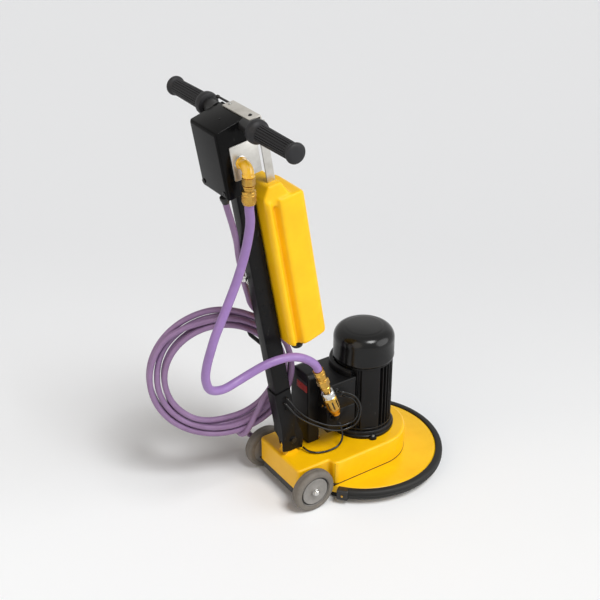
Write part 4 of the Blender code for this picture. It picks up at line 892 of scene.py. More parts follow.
def flow(route: Iterable[Point], step: float) -> list[Vector]:
    """A smooth line through a route's points, evenly divided.

    Args:
        route: The points that a hose or cable passes.
        step: The distance between the points given back.

    Returns:
        Points along the smooth line, its ends included.
    """
    points = [Vector(point) for point in route]
    dense = []
    for row in range(len(points) - 1):
        start, end = points[row], points[row + 1]
        before = points[row - 1] if row else start - (end - start)
        after = points[row + 2] if row + 2 < len(points) else end + (end - start)
        third = (end - start).length / 3.0
        leave = start + heading(before, start, end) * third
        arrive = end - heading(start, end, after) * third
        dense += interpolate_bezier(start, leave, arrive, end, 17)[:-1]
    dense.append(points[-1])
    lengths = [0.0]
    for start, end in zip(dense, dense[1:]):
        lengths.append(lengths[-1] + (end - start).length)
    count = max(4, round(lengths[-1] / step))
    placed, row = [], 0
    for number in range(count + 1):
        want = lengths[-1] * number / count
        while row < len(dense) - 2 and lengths[row + 1] < want:
            row += 1
        share = (want - lengths[row]) / (lengths[row + 1] - lengths[row])
        placed.append(dense[row].lerp(dense[row + 1], min(share, 1.0)))
    return placed


@dataclass
class Coil:
    """The supply hose's turns on the hook, laid in a ring of slots one after another."""

    centre: Vector = Vector((-0.130, -0.408, 0.378))
    azimuth: float = radians(68.3)
    slots: tuple[Row, ...] = ((0.2034, -0.0093), (0.2034, 0.0083), (0.1825, 0.0083),
                              (0.1825, -0.0093), (0.1618, -0.0093), (0.1618, 0.0083))
    enter: tuple[Point, ...] = ((57.0, 0.2125, -0.004),)
    leave: tuple[Point, ...] = ((15.0, 0.1608, 0.0095), (-3.0, 0.1580, 0.0140),
                                (-20.0, 0.1520, 0.0220))
    first: float = radians(40.0)
    whole: float = radians(300.0)
    crossing: float = radians(45.0)
    swept: float = radians(1808.0)
    step: float = radians(6.0)
    hook_height: float = 0.4773

    def at(self, angle: float, reach: float, aside: float) -> Vector:
        """Finds a place on the coil.

        Args:
            angle: Its angle round the coil.
            reach: Its distance from the coil's middle.
            aside: Its side step along the coil's axis.

        Returns:
            The place.
        """
        lay = Vector((cos(self.azimuth), sin(self.azimuth), 0.0))
        axis = Vector((sin(self.azimuth), -cos(self.azimuth), 0.0))
        return self.centre + lay * (reach * cos(angle)) + Vector((0.0, 0.0, reach * sin(angle))) \
            + axis * aside

    def route(self) -> list[Vector]:
        """The coil's middle line, with the hose's way in and its way out."""
        enter, leave = [[self.at(radians(angle), reach, aside) for angle, reach, aside in way]
                        for way in (self.enter, self.leave)]
        return [*enter, *self.turns(), *leave]

    def turns(self) -> list[Vector]:
        """Lays the turns, each whole until the hose crosses over to the next slot.

        Returns:
            Points from the hose's first turn to its last.
        """
        placed = []
        count = round(self.swept / self.step)
        for number in range(count + 1):
            gone = self.swept * number / count
            reach, aside = self.slots[0]
            for change in range(len(self.slots) - 1):
                begin = 2.0 * pi * change + self.whole - self.crossing * change
                share = min(max((gone - begin) / self.crossing, 0.0), 1.0)
                share = share * share * (3.0 - 2.0 * share)
                reach += (self.slots[change + 1][0] - self.slots[change][0]) * share
                aside += (self.slots[change + 1][1] - self.slots[change][1]) * share
            placed.append(self.at(self.first - gone, reach, aside))
        return placed


@dataclass
class Hoses(Assembly):
    """The lilac hoses and the thin black cables, close to the frame's own middle lines."""

    feed_diameter: float = 0.024
    supply_diameter: float = 0.017
    cable_diameter: float = 0.0060
    coupler_start: Vector = Vector((0.080, -0.2184, 0.432))
    coupler_aim: Vector = Vector((-0.007899, 0.360808, -0.932607))
    feed_route: tuple[Point, ...] = (
        (0.100, -0.4385, 0.954), (0.098, -0.443, 0.914), (0.094, -0.450, 0.874),
        (0.090, -0.460, 0.834), (0.088, -0.473, 0.796), (0.088, -0.489, 0.761),
        (0.090, -0.507, 0.728), (0.093, -0.527, 0.694), (0.093, -0.545, 0.658),
        (0.089, -0.558, 0.616), (0.081, -0.567, 0.570), (0.073, -0.568, 0.522),
        (0.064, -0.550, 0.480), (0.056, -0.509, 0.462), (0.052, -0.460, 0.468),
        (0.057, -0.419, 0.483), (0.066, -0.384, 0.498), (0.074, -0.346, 0.506),
        (0.078, -0.301, 0.502), (0.080, -0.257, 0.480))
    supply_route: tuple[Point, ...] = (
        (0.030, -0.467, 0.9905), (0.0285, -0.463, 0.974), (0.022, -0.452, 0.943),
        (0.006, -0.432, 0.893), (-0.010, -0.414, 0.842), (-0.024, -0.402, 0.797),
        (-0.042, -0.384, 0.742), (-0.060, -0.363, 0.681), (-0.075, -0.345, 0.637),
        (-0.086, -0.331, 0.602))
    tail_route: tuple[Point, ...] = (
        (-0.0609, -0.3096, 0.290), (-0.0659, -0.3226, 0.261), (-0.0709, -0.3326, 0.238),
        (-0.0749, -0.3426, 0.215), (-0.0785, -0.3510, 0.196), (-0.0845, -0.3575, 0.1795),
        (-0.0940, -0.3612, 0.1680), (-0.1070, -0.3625, 0.1610), (-0.1210, -0.3612, 0.1585),
        (-0.1360, -0.3575, 0.1570), (-0.1500, -0.3500, 0.1530), (-0.1615, -0.3385, 0.1430),
        (-0.1690, -0.3225, 0.1260), (-0.1720, -0.3040, 0.1050), (-0.1729, -0.2870, 0.0855),
        (-0.173, -0.270, 0.0745))
    connector_aim: Vector = Vector((-0.173, -0.200, 0.071))
    upper_route: tuple[Point, ...] = (
        (0.0243, -0.290, 0.336), (0.0315, -0.2885, 0.3350), (0.0385, -0.2850, 0.3290),
        (0.0435, -0.2780, 0.3170), (0.0470, -0.2660, 0.2990), (0.0520, -0.2430, 0.2700),
        (0.062, -0.206, 0.240), (0.072, -0.153, 0.2125), (0.0795, -0.115, 0.2075),
        (0.0850, -0.089, 0.2180), (0.0865, -0.079, 0.2420), (0.0835, -0.083, 0.2700),
        (0.0770, -0.0960, 0.2890), (0.0685, -0.1110, 0.2975), (0.0557, -0.120, 0.300))
    lower_route: tuple[Point, ...] = (
        (0.0243, -0.296, 0.321), (0.0315, -0.2945, 0.3200), (0.0385, -0.2910, 0.3140),
        (0.0440, -0.2830, 0.3010), (0.0485, -0.2690, 0.2810), (0.0545, -0.2430, 0.2540),
        (0.065, -0.207, 0.228), (0.076, -0.158, 0.2005), (0.0855, -0.117, 0.1960),
        (0.0910, -0.088, 0.2080), (0.0925, -0.076, 0.240), (0.0895, -0.079, 0.2760),
        (0.0845, -0.0930, 0.3000), (0.0765, -0.1130, 0.3140), (0.0680, -0.1280, 0.3185),
        (0.0557, -0.136, 0.319))
    ground_route: tuple[Point, ...] = (
        (0.0557, -0.125, 0.196), (0.0605, -0.1235, 0.1925), (0.0645, -0.1215, 0.1830),
        (0.0685, -0.1210, 0.1670), (0.0720, -0.1260, 0.1500), (0.0745, -0.1390, 0.1385),
        (0.0745, -0.1590, 0.1337), (0.0705, -0.1900, 0.1330), (0.0600, -0.2140, 0.1345),
        (0.0440, -0.2265, 0.1360), (0.030, -0.230, 0.138), (0.0243, -0.230, 0.138))

    def build(self) -> None:
        """Lays the two hoses and the three cables."""
        self.supply_hose()
        self.feed_hose()
        near, far = (0.0, -0.270, 0.30), (0.0, -0.160, 0.30)
        for node, route, still, moved in (
                ("motor_cable_upper", self.upper_route, far, near),
                ("motor_cable_lower", self.lower_route, far, near),
                ("ground_lead", self.ground_route, (0.0, -0.190, 0.138), (0.0, -0.228, 0.138))):
            self.across(node, route, self.cable_diameter, CABLE_SHEATH, still, moved)

    def supply_hose(self) -> None:
        """The long hose: down the column, round the hook and on to its connector by the wheel."""
        end = Vector(self.tail_route[-1])
        lead = (self.connector_aim - end).normalized() * (self.supply_diameter / 2.0)
        path = flow([*self.supply_route, *Coil().route(), *self.tail_route, end + lead], 0.006)
        hose = Bench.line("supply_hose_coiled", path, self.supply_diameter / 2.0, 6)
        # The long hose and its coil take the darker copy of the hose wall: painted shade.
        self.hand_over(hose, Body.HANDLE, HOSE_SHADED, ("supply_hose", "supply_coil", "supply_tail"))
        self.report("supply_hose", path)
        gland = Bench.turned("supply_gland", [
            (0.0, -0.0105), (0.0118, -0.0105), (0.0125, -0.0095), (0.0125, -0.0040),
            (0.0118, -0.0030), (0.0108, 0.0010), (0.0098, 0.0050), (0.0090, 0.0090),
            (0.0, 0.0090)], 48)
        Bench.place(gland, towards(path[3] - path[0], path[0]))
        self.hand_over(gland, Body.HANDLE, BLACK_NYLON)
        connector = self.connector(end + lead, lead.normalized())

    def report(self, node: str, path: list[Vector]) -> None:
        """Logs how long a hose or cable has come out."""
        length = sum((b - a).length for a, b in zip(path, path[1:]))
        log.info("%s is %.3f m long", node, length)

    def connector(self, at: Vector, aim: Vector) -> Piece:
        """Makes the brass hose tail with its hexagon and push-in nipple.

        Args:
            at: Where the hose ends.
            aim: The direction in which the connector goes on.

        Returns:
            The connector.
        """
        body = Bench.turned("supply_connector_body", [
            (0.0, GAP), (0.0098, GAP), (0.0104, 0.0015), (0.0104, 0.0050), (0.0098, 0.0058),
            (0.0106, 0.0070), (0.0106, 0.0110), (0.0099, 0.0118), (0.0107, 0.0130),
            (0.0107, 0.0170), (0.0, 0.0170)], 48)
        nut = Bench.screw("connector_nut", 0.0119, 0.0160)
        Bench.place(nut, Matrix.Translation((0.0, 0.0, 0.0175)))
        nipple = Bench.turned("nipple", [
            (0.0, 0.034), (0.0100, 0.034), (0.0100, 0.0365), (0.0084, 0.0375), (0.0084, 0.0450),
            (0.0072, 0.0458), (0.0072, 0.0488), (0.0082, 0.0498), (0.0080, 0.0570),
            (0.0066, 0.0578), (0.0, 0.0578)], 48)
        piece = Bench.together("supply_connector_detailed", body, nut, nipple)
        Bench.place(piece, towards(aim, at))
        return self.hand_over(piece, Body.HANDLE, TURNED_BRASS, ("supply_connector",))

    def feed_hose(self) -> None:
        """The short thick hose from the valve to the coupler."""
        below = -Valve.mouth - Valve.nut_length - 2 * GAP
        outlet = Valve().middle() + Vector((Valve.reach, 0.0, below))
        drop = Vector((0.0, 0.0, self.feed_diameter / 2.0))
        start = self.coupler_start
        route = [outlet, outlet - drop, *self.feed_route,
                 start - self.coupler_aim * (self.feed_diameter / 2.0), start]
        self.across("feed_hose", route, self.feed_diameter, HOSE_WALL, (0.0, -0.240, 0.45),
                    (0.0, -0.400, 0.45))

    def across(self, node: str, route: Iterable[Point], diameter: float, finish: Finish,
               still: Point, moved: Point) -> None:
        """Lays a hose or cable that runs from the chassis to the tilting handle.

        Args:
            node: The frame's node that it replaces.
            route: The points of its middle line.
            diameter: Its thickness.
            finish: Its finish.
            still: Where it would stop following the chassis; not used.
            moved: Where it would follow the handle alone; not used.
        """
        path = flow(route, max(diameter * 0.4, 0.004))
        tube = Bench.wire(f"{node}_run", path, diameter / 2.0, 6 if diameter > 0.01 else 3)
        self.hand_over(tube, None, finish, (node,), 60.0)
        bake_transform(tube)
        self.report(node, path)


# ---- disc, deck and bumper ----
@dataclass
class Disc(Assembly):
    """The pad, the plate that drives it, the deck over them and the rubber bumper."""

    pad_radius: float = 0.221
    plate_radius: float = 0.214
    deck_radius: float = 0.2294
    deck_top: float = 0.050
    skirt_low: float = 0.0238
    bumper_radius: float = 0.250
    open_half: float = radians(45.0)
    bracket_arc: float = radians(7.5)

    def build(self) -> None:
        """Builds the pieces from the floor up."""
        self.pad()
        self.deck()
        self.bumper()
        for side in (-1.0, 1.0):
            self.bracket(side)

    def pad(self) -> None:
        """The fibre pad, a little ragged at its rim, and the nylon plate above it."""
        rim = self.pad_radius
        pad = Bench.ring("scouring_pad", [
            (0.030, 0.0), (rim - 0.004, 0.0), (rim - 0.001, 0.0020), (rim, 0.0055),
            (rim - 0.0012, 0.0085), (rim, 0.0120), (rim - 0.002, 0.0150), (rim - 0.005, 0.0160),
            (0.030, 0.0160)], 160)
        self.hand_over(pad, Body.DISC, PAD_FIBRES, ("pad",))
        edge = self.plate_radius
        plate = Bench.ring("pad_driver", [
            (0.0143, 0.0166), (edge - 0.002, 0.0166), (edge, 0.0185), (edge, 0.0260),
            (edge - 0.003, 0.0283), (0.060, 0.0283), (0.052, 0.0300), (0.036, 0.0360),
            (0.0143, 0.0360)], 128)
        self.hand_over(plate, Body.DISC, BLACK_NYLON, ("drive_plate",))

    def deck(self) -> None:
        """The spun steel deck: nearly flat, with a rolled rim that the bumper grips."""
        rim, top, wall = self.deck_radius, self.deck_top, 0.0026
        deck = Bench.ring("deck_pan", [
            (0.0305, top), (rim - 0.012, top), (rim - 0.0065, top - 0.0006),
            (rim - 0.0025, top - 0.0022), (rim - 0.0006, top - 0.0048), (rim, top - 0.0080),
            (rim, self.skirt_low), (rim - wall, self.skirt_low), (rim - wall, top - wall - 0.006),
            (rim - wall - 0.005, top - wall), (0.040, top - wall), (0.040, top - 0.012),
            (0.0305, top - 0.012)], 192)
        # The deck takes the paler copy of the enamel: painted light.
        self.hand_over(deck, Body.CHASSIS, YELLOW_DECK_PAINTED_LIGHT, ("deck_disc",), 50.0)

    def bumper(self) -> None:
        """The extruded rubber round the deck, with a bead at its top and a groove in its side."""
        inner, outer, low = self.deck_radius + GAP, self.bumper_radius, self.skirt_low
        section = [(inner, 0.0500), (inner + 0.0020, 0.0514), (inner + 0.0060, 0.0519),
                   (outer - 0.0070, 0.0510), (outer - 0.0030, 0.0488), (outer - 0.0008, 0.0452),
                   (outer, 0.0412), (outer - 0.0006, 0.0390), (outer - 0.0020, 0.0380),
                   (outer - 0.0020, 0.0366), (outer - 0.0006, 0.0356), (outer, 0.0334),
                   (outer - 0.0008, 0.0290), (outer - 0.0030, 0.0256), (outer - 0.0065, low),
                   (inner, low)]
        first = -pi / 2.0 + self.open_half
        ring = Bench.ring("rubber_bumper", section, 144, 2.0 * (pi - self.open_half), first)
        self.hand_over(ring, Body.CHASSIS, BUMPER_RUBBER, ("bumper_ring",), 50.0)

    def bracket(self, side: float) -> None:
        """The moulded clamp at one end of the bumper, with its screw.

        Args:
            side: 1 for the right end and -1 for the left.
        """
        node = "bumper_bracket_right" if side > 0.0 else "bumper_bracket_left"
        inner, outer, span = self.deck_radius + GAP, self.bumper_radius + 0.0035, self.bracket_arc
        middle = -pi / 2.0 + side * (self.open_half - span / 2.0 - 0.0012)
        clamp = Bench.ring(f"{node}_moulding", [
            (inner, 0.0508), (outer - 0.004, 0.0516), (outer, 0.0480), (outer, 0.0200),
            (outer - 0.003, 0.0175), (inner, 0.0175)], 10, span, middle - span / 2.0)
        Bench.softened(clamp, 0.0014, 3, 35.0)
        self.hand_over(clamp, Body.CHASSIS, BLACK_NYLON, (node,))
        out = Vector((cos(middle), sin(middle), 0.0))
        seat = towards(out, out * outer + Vector((0.0, 0.0, 0.0340)))
        self.drive(f"{node}_screw", (0.0036, 0.0020), seat, Body.CHASSIS, TURNED_BRASS, False)


# ---- chassis housing and wheels ----
@dataclass
class Chassis(Assembly):
    """The yellow housing on the deck, its pivot lug, its dark underside and its screws."""

    half: float = 0.131
    tail_half: float = 0.104
    step_y: float = -0.192
    tail_y: float = -0.300
    deck_top: float = 0.050
    low: float = 0.0530
    top: float = 0.128
    wall: float = 0.005
    gear_bore: float = 0.0700
    shaft_bore: float = 0.0200
    pin_hole: float = 0.0053
    axle_hole: float = 0.0063

    def outline(self, inset: float) -> list[Row]:
        """Draws the plan of the housing: a round nose, straight flanks and a narrow tail.

        Args:
            inset: How far the plan lies inside the housing's outer faces.

        Returns:
            The plan's points.
        """
        half, tail = self.half - inset, self.tail_half - inset
        step, rear = self.step_y + inset, self.tail_y + inset
        return [*arc((0.0, 0.0), half, 0.0, pi, 72), (-half, step), (-tail, step), (-tail, rear),
                (tail, rear), (tail, step), (half, step)]

    def build(self) -> None:
        """Builds the housing, its gasket, the skirt below it and the screws on it; the black
        gasket, a little proud of the housing, is painted shade along the seam.
        """
        self.housing()
        # Painted shade: a black band, 0.6 mm proud, darkens the seam between the deck and the
        # housing.
        gasket_shade = Bench.slab("housing_gasket_seam_shade", self.outline(-0.0006), self.deck_top + GAP,
                          self.low - 0.0001)
        Bench.carved(gasket_shade, Bench.rod("gear_bore", self.gear_bore, self.deck_top - 0.004,
                                     self.low + 0.004, 72))
        self.hand_over(gasket_shade, Body.CHASSIS, BLACK_NYLON)
        skirt = Bench.block("rear_skirt", (-0.0985, -0.2945, 0.0225), (0.0985, -0.2370, 0.0600))
        Bench.rounded(skirt, upright(0.02, lambda at: at.y < -0.29), 0.010, 5)
        Bench.softened(skirt, 0.002, 2)
        self.hand_over(skirt, Body.CHASSIS, BLACK_NYLON)
        for number, (x, y) in enumerate(((-0.004, -0.157), (-0.088, -0.186))):
            self.drive(f"box_foot_screw_{number + 1}", (0.0050, 0.0036),
                       Matrix.Translation((x, y, self.top)), Body.CHASSIS, TURNED_BRASS)
        self.keep("pivot_pin", BLACKED_PIN)
        self.keep("axle", ZINC)

    def housing(self) -> None:
        """The pressed housing with its soft shoulders, hollow, with a bore for the shaft."""
        shell = Bench.slab("housing_shell", self.outline(0.0), self.low, self.top)
        flank, tail, step, rear = self.half, self.tail_half, self.step_y, self.tail_y

        def corners(x: float, y: float) -> EdgeTest:
            """Picks the two upright edges at plus and minus x."""
            return upright(0.02, lambda at: abs(abs(at.x) - x) < 0.001 and abs(at.y - y) < 0.001)

        Bench.rounded(shell, corners(flank, step), 0.018, 8)
        Bench.rounded(shell, corners(tail, step), 0.008, 6)
        Bench.rounded(shell, corners(tail, rear), 0.014, 8)
        Bench.rounded(shell, above(self.top - 0.001), 0.0095, 7)
        lug = Bench.side_slab("lug", [
            (PIVOT.y - 0.026, self.top - 0.004), (PIVOT.y - 0.0155, self.top + 0.010),
            *arc((PIVOT.y, PIVOT.z), 0.015, pi, 0.0, 24),
            (PIVOT.y + 0.0155, self.top + 0.010), (PIVOT.y + 0.026, self.top - 0.004)],
            -0.0193, 0.0193)
        Bench.softened(lug, 0.0020, 3, 50.0)
        Bench.carved(shell, lug, how="UNION")
        hollow = Bench.slab("hollow", self.outline(self.wall), self.low - 0.01,
                            self.top - self.wall)
        reach = self.half + 0.02
        holes = [Bench.place(Bench.rod("hole", radius, -reach, reach, 32), along_x(0.0, y, z))
                 for radius, (y, z) in ((self.pin_hole, PIVOT.yz), (self.axle_hole, AXLE))]
        shaft = Bench.rod("shaft_bore", self.shaft_bore, self.top - 0.012, self.top + 0.004, 72)
        Bench.carved(shell, hollow, *holes, shaft)
        self.hand_over(shell, Body.CHASSIS, YELLOW_ENAMEL, ("chassis_housing",), 32.0)


@dataclass
class Wheel(Assembly):
    """One wheel: a grey tyre on a nylon centre, and the bright cap on the axle's end."""

    left: bool = False
    radius: float = 0.066
    inner: float = 0.1125
    outer: float = 0.1425
    seat: float = 0.048

    @property
    def side(self) -> str:
        """The wheel's side of the machine."""
        return "left" if self.left else "right"

    @property
    def body(self) -> Body:
        """The body that the wheel rolls with."""
        return Body.WHEEL_LEFT if self.left else Body.WHEEL_RIGHT

    def build(self) -> None:
        """Builds the tyre, the hub and the cap."""
        self.tyre()
        self.hub()
        self.cap()

    def fit(self, piece: Piece, body: Body, finish: Finish,
            stands_for: Iterable[str] = (), crease: float = 40.0) -> None:
        """Sets a turned piece on the axle and hands it over."""
        Bench.place(piece, along_x(0.0, *AXLE, self.left))
        self.hand_over(piece, body, finish, stands_for, crease)

    def tyre(self) -> None:
        """Turns the tyre, with round shoulders and a fine line round the middle of its tread."""
        tread, out, near = self.radius, self.outer, self.inner
        middle = (out + near) / 2.0
        shoulder = [(tread - down, aside) for down, aside in (
            (0.0085, 0.0), (0.0050, 0.0008), (0.0022, 0.0030), (0.0007, 0.0062), (0.0, 0.0100))]
        tyre = Bench.ring(f"tyre_{self.side}", [
            (self.seat, out - 0.0006), (self.seat + 0.0010, out),
            *[(reach, out - aside) for reach, aside in shoulder], (tread, middle + 0.0010),
            (tread - 0.0006, middle), (tread, middle - 0.0010),
            *[(reach, near + aside) for reach, aside in reversed(shoulder)], (self.seat, near)],
            128)
        self.fit(tyre, self.body, TYRE_RUBBER, (f"wheel_tyre_{self.side}",))

    def hub(self) -> None:
        """Turns the dished hub, and a black ring at the bottom of the groove at its rim: painted
        shade that keeps the groove dark.
        """
        out, near = self.outer, self.inner
        hub = Bench.ring(f"hub_{self.side}", [
            (0.0063, out - 0.0002), (0.0118, out - 0.0002), (0.0130, out - 0.0014),
            (0.0142, out - 0.0046), (0.0175, out - 0.0062), (0.0330, out - 0.0056),
            (0.0385, out - 0.0032), (0.0408, out - 0.0026), (0.0418, out - 0.0034),
            (0.0422, out - 0.0115), (0.0466, out - 0.0115), (0.0470, out - 0.0036),
            (self.seat - GAP, out - 0.0022), (self.seat - GAP, near + 0.001),
            (0.0063, near + 0.001)], 96)
        self.fit(hub, self.body, HUB_NYLON, (f"wheel_hub_{self.side}",))
        # Painted shade: a black ring at the groove's bottom makes the groove look dark under any
        # light.
        ring = Bench.ring(f"hub_groove_shade_ring_{self.side}", [
            (0.0424, out - 0.0112), (0.0464, out - 0.0112), (0.0464, out - 0.0080),
            (0.0424, out - 0.0080)], 96)
        self.fit(ring, self.body, BLACK_NYLON)

    def cap(self) -> None:
        """Turns the domed cap on the axle's end, which stays still as the wheel rolls."""
        start = self.outer + GAP
        cap = Bench.turned(f"axle_dome_{self.side}", [
            (0.0, start), (0.0104, start), (0.0104, start + 0.0012), (0.0094, start + 0.0018),
            (0.0092, start + 0.0040), *[(0.0090 * cos(a), start + 0.0045 + 0.0048 * sin(a))
                                       for a in (0.1, 0.35, 0.6, 0.9, 1.2)],
            (0.0, start + 0.0094)], 48)
        self.fit(cap, Body.CHASSIS, NICKEL, (f"axle_cap_{self.side}",), 45.0)


# ---- motor ----
@dataclass
class Motor(Assembly):
    """The upright motor: flange with three feet, ribbed body with flat panels, and domed cowl."""

    flange_radius: float = 0.094
    flange_low: float = 0.1283
    flange_top: float = 0.1503
    body_radius: float = 0.0872
    body_low: float = 0.1506
    body_top: float = 0.372
    cowl_radius: float = 0.0896
    cowl_top: float = 0.465
    cowl_flat: float = 0.055
    panel_angle: float = radians(-21.0)
    foot_angle: float = radians(-16.0)
    thirds: float = 2.0 * pi / 3.0
    ribs: int = 8
    rib_gap: float = 9.4

    def build(self) -> None:
        """Builds the motor from its flange up."""
        self.flange()
        self.body()
        self.cowl()

    def flange(self) -> None:
        """The ring that bolts to the housing, with a step, three feet and their screws."""
        rim, low, top = self.flange_radius, self.flange_low, self.flange_top
        ring = Bench.ring("flange_ring", [
            (0.055, low), (rim + 0.0012, low), (rim + 0.0016, low + 0.0020),
            (rim + 0.0016, low + 0.0090), (rim + 0.0002, low + 0.0106),
            (rim - 0.0022, low + 0.0116), (rim - 0.0026, top - 0.0040),
            (rim - 0.0040, top - 0.0012), (rim - 0.0060, top), (0.055, top)], 144)
        foot = Bench.slab("foot", [(rim - 0.012, -0.0135), (rim + 0.012, -0.0105),
                                   (rim + 0.012, 0.0105), (rim - 0.012, 0.0135)], low, low + 0.0105)
        Bench.rounded(foot, upright(0.005, lambda at: at.x > rim), 0.0075, 7)
        Bench.rounded(foot, above(low + 0.010), 0.0016, 3)
        feet = Bench.round_about(foot, 3)
        Bench.place(feet, Matrix.Rotation(self.foot_angle, 4, "Z"))
        piece = Bench.together("motor_flange_cast", ring, feet)
        self.hand_over(piece, Body.CHASSIS, BLACK_CASTING, ("motor_flange",), 40.0)
        for number in range(3):
            angle = self.foot_angle + number * self.thirds
            seat = Matrix.Rotation(angle, 4, "Z") @ Matrix.Translation(
                (rim + 0.0040, 0.0, low + 0.0105))
            self.drive(f"flange_screw_{number + 1}", (0.0040, 0.0034), seat, Body.CHASSIS, ZINC)

    def body(self) -> None:
        """The extruded body: a round core, three flat panels and eight ribs between each two."""
        low, top, rib = self.body_low, self.body_top, self.body_radius
        core = Bench.ring("core", [(0.066, low), (0.0782, low), (0.0782, top), (0.066, top)], 120)
        panel = Bench.slab("panel", [(0.070, -0.0285), (0.0825, -0.0285), (0.0825, 0.0285),
                                     (0.070, 0.0285)], low, top)
        Bench.rounded(panel, upright(0.1, lambda at: at.x > 0.08), 0.0035, 4)
        panels = Bench.round_about(panel, 3)
        fin = Bench.slab("rib", [(0.076, -0.0020), (rib - 0.0003, -0.0013), (rib - 0.0003, 0.0013),
                                 (0.076, 0.0020)], low, top)
        Bench.rounded(fin, upright(0.1, lambda at: at.x > 0.08), 0.0008, 2)
        ribs = []
        for third in range(3):
            for place in range(self.ribs):
                aside = (place - (self.ribs - 1) / 2.0) * self.rib_gap
                angle = radians(60.0 + aside) + third * self.thirds
                ribs.append(Bench.copied(fin, "rib_copy", Matrix.Rotation(angle, 4, "Z")))
        bpy.data.objects.remove(fin)
        body = Bench.together("motor_body_ribbed", core, panels, *ribs)
        Bench.place(body, Matrix.Rotation(self.panel_angle, 4, "Z"))
        self.hand_over(body, Body.CHASSIS, BLACK_CASTING, ("motor_body",), 30.0)
        for number, height in enumerate((low + 0.004, top - 0.009)):
            band = Bench.ring(f"body_band_{number + 1}", [
                (0.077, height), (rib - 0.0012, height), (rib - 0.0004, height + 0.0008),
                (rib - 0.0004, height + 0.0040), (rib - 0.0012, height + 0.0048),
                (0.077, height + 0.0048)], 144)
            self.hand_over(band, Body.CHASSIS, BLACK_CASTING)

    def cowl(self) -> None:
        """The pressed cowl: a flat crown inside a wide round shoulder and a rolled lower edge."""
        rim, top, flat, wall = self.cowl_radius, self.cowl_top, self.cowl_flat, 0.0022
        low, drop = self.body_top + GAP, rim - flat
        crown = [(0.0, top), (flat - 0.0022, top), (flat - 0.0008, top - 0.0003),
                 (flat + 0.0006, top - 0.0011)]
        shoulder = arc((flat, top - 0.0012 - drop), drop, radians(84.0), 0.0, 22)
        edge = [(rim, low + 0.0060), (rim + 0.0006, low + 0.0050), (rim + 0.0006, low + 0.0012),
                (rim, low), (rim - wall, low)]
        inside = arc((flat, top - 0.0012 - drop), drop - wall, 0.0, pi / 2.0, 10)
        shell = Bench.turned("fan_cowl_pressed", [*crown, *shoulder, *edge, *inside,
                                                  (0.0, top - wall - 0.0012)], 144)
        self.hand_over(shell, Body.CHASSIS, BLACK_COWL, ("fan_cowl",), 40.0)


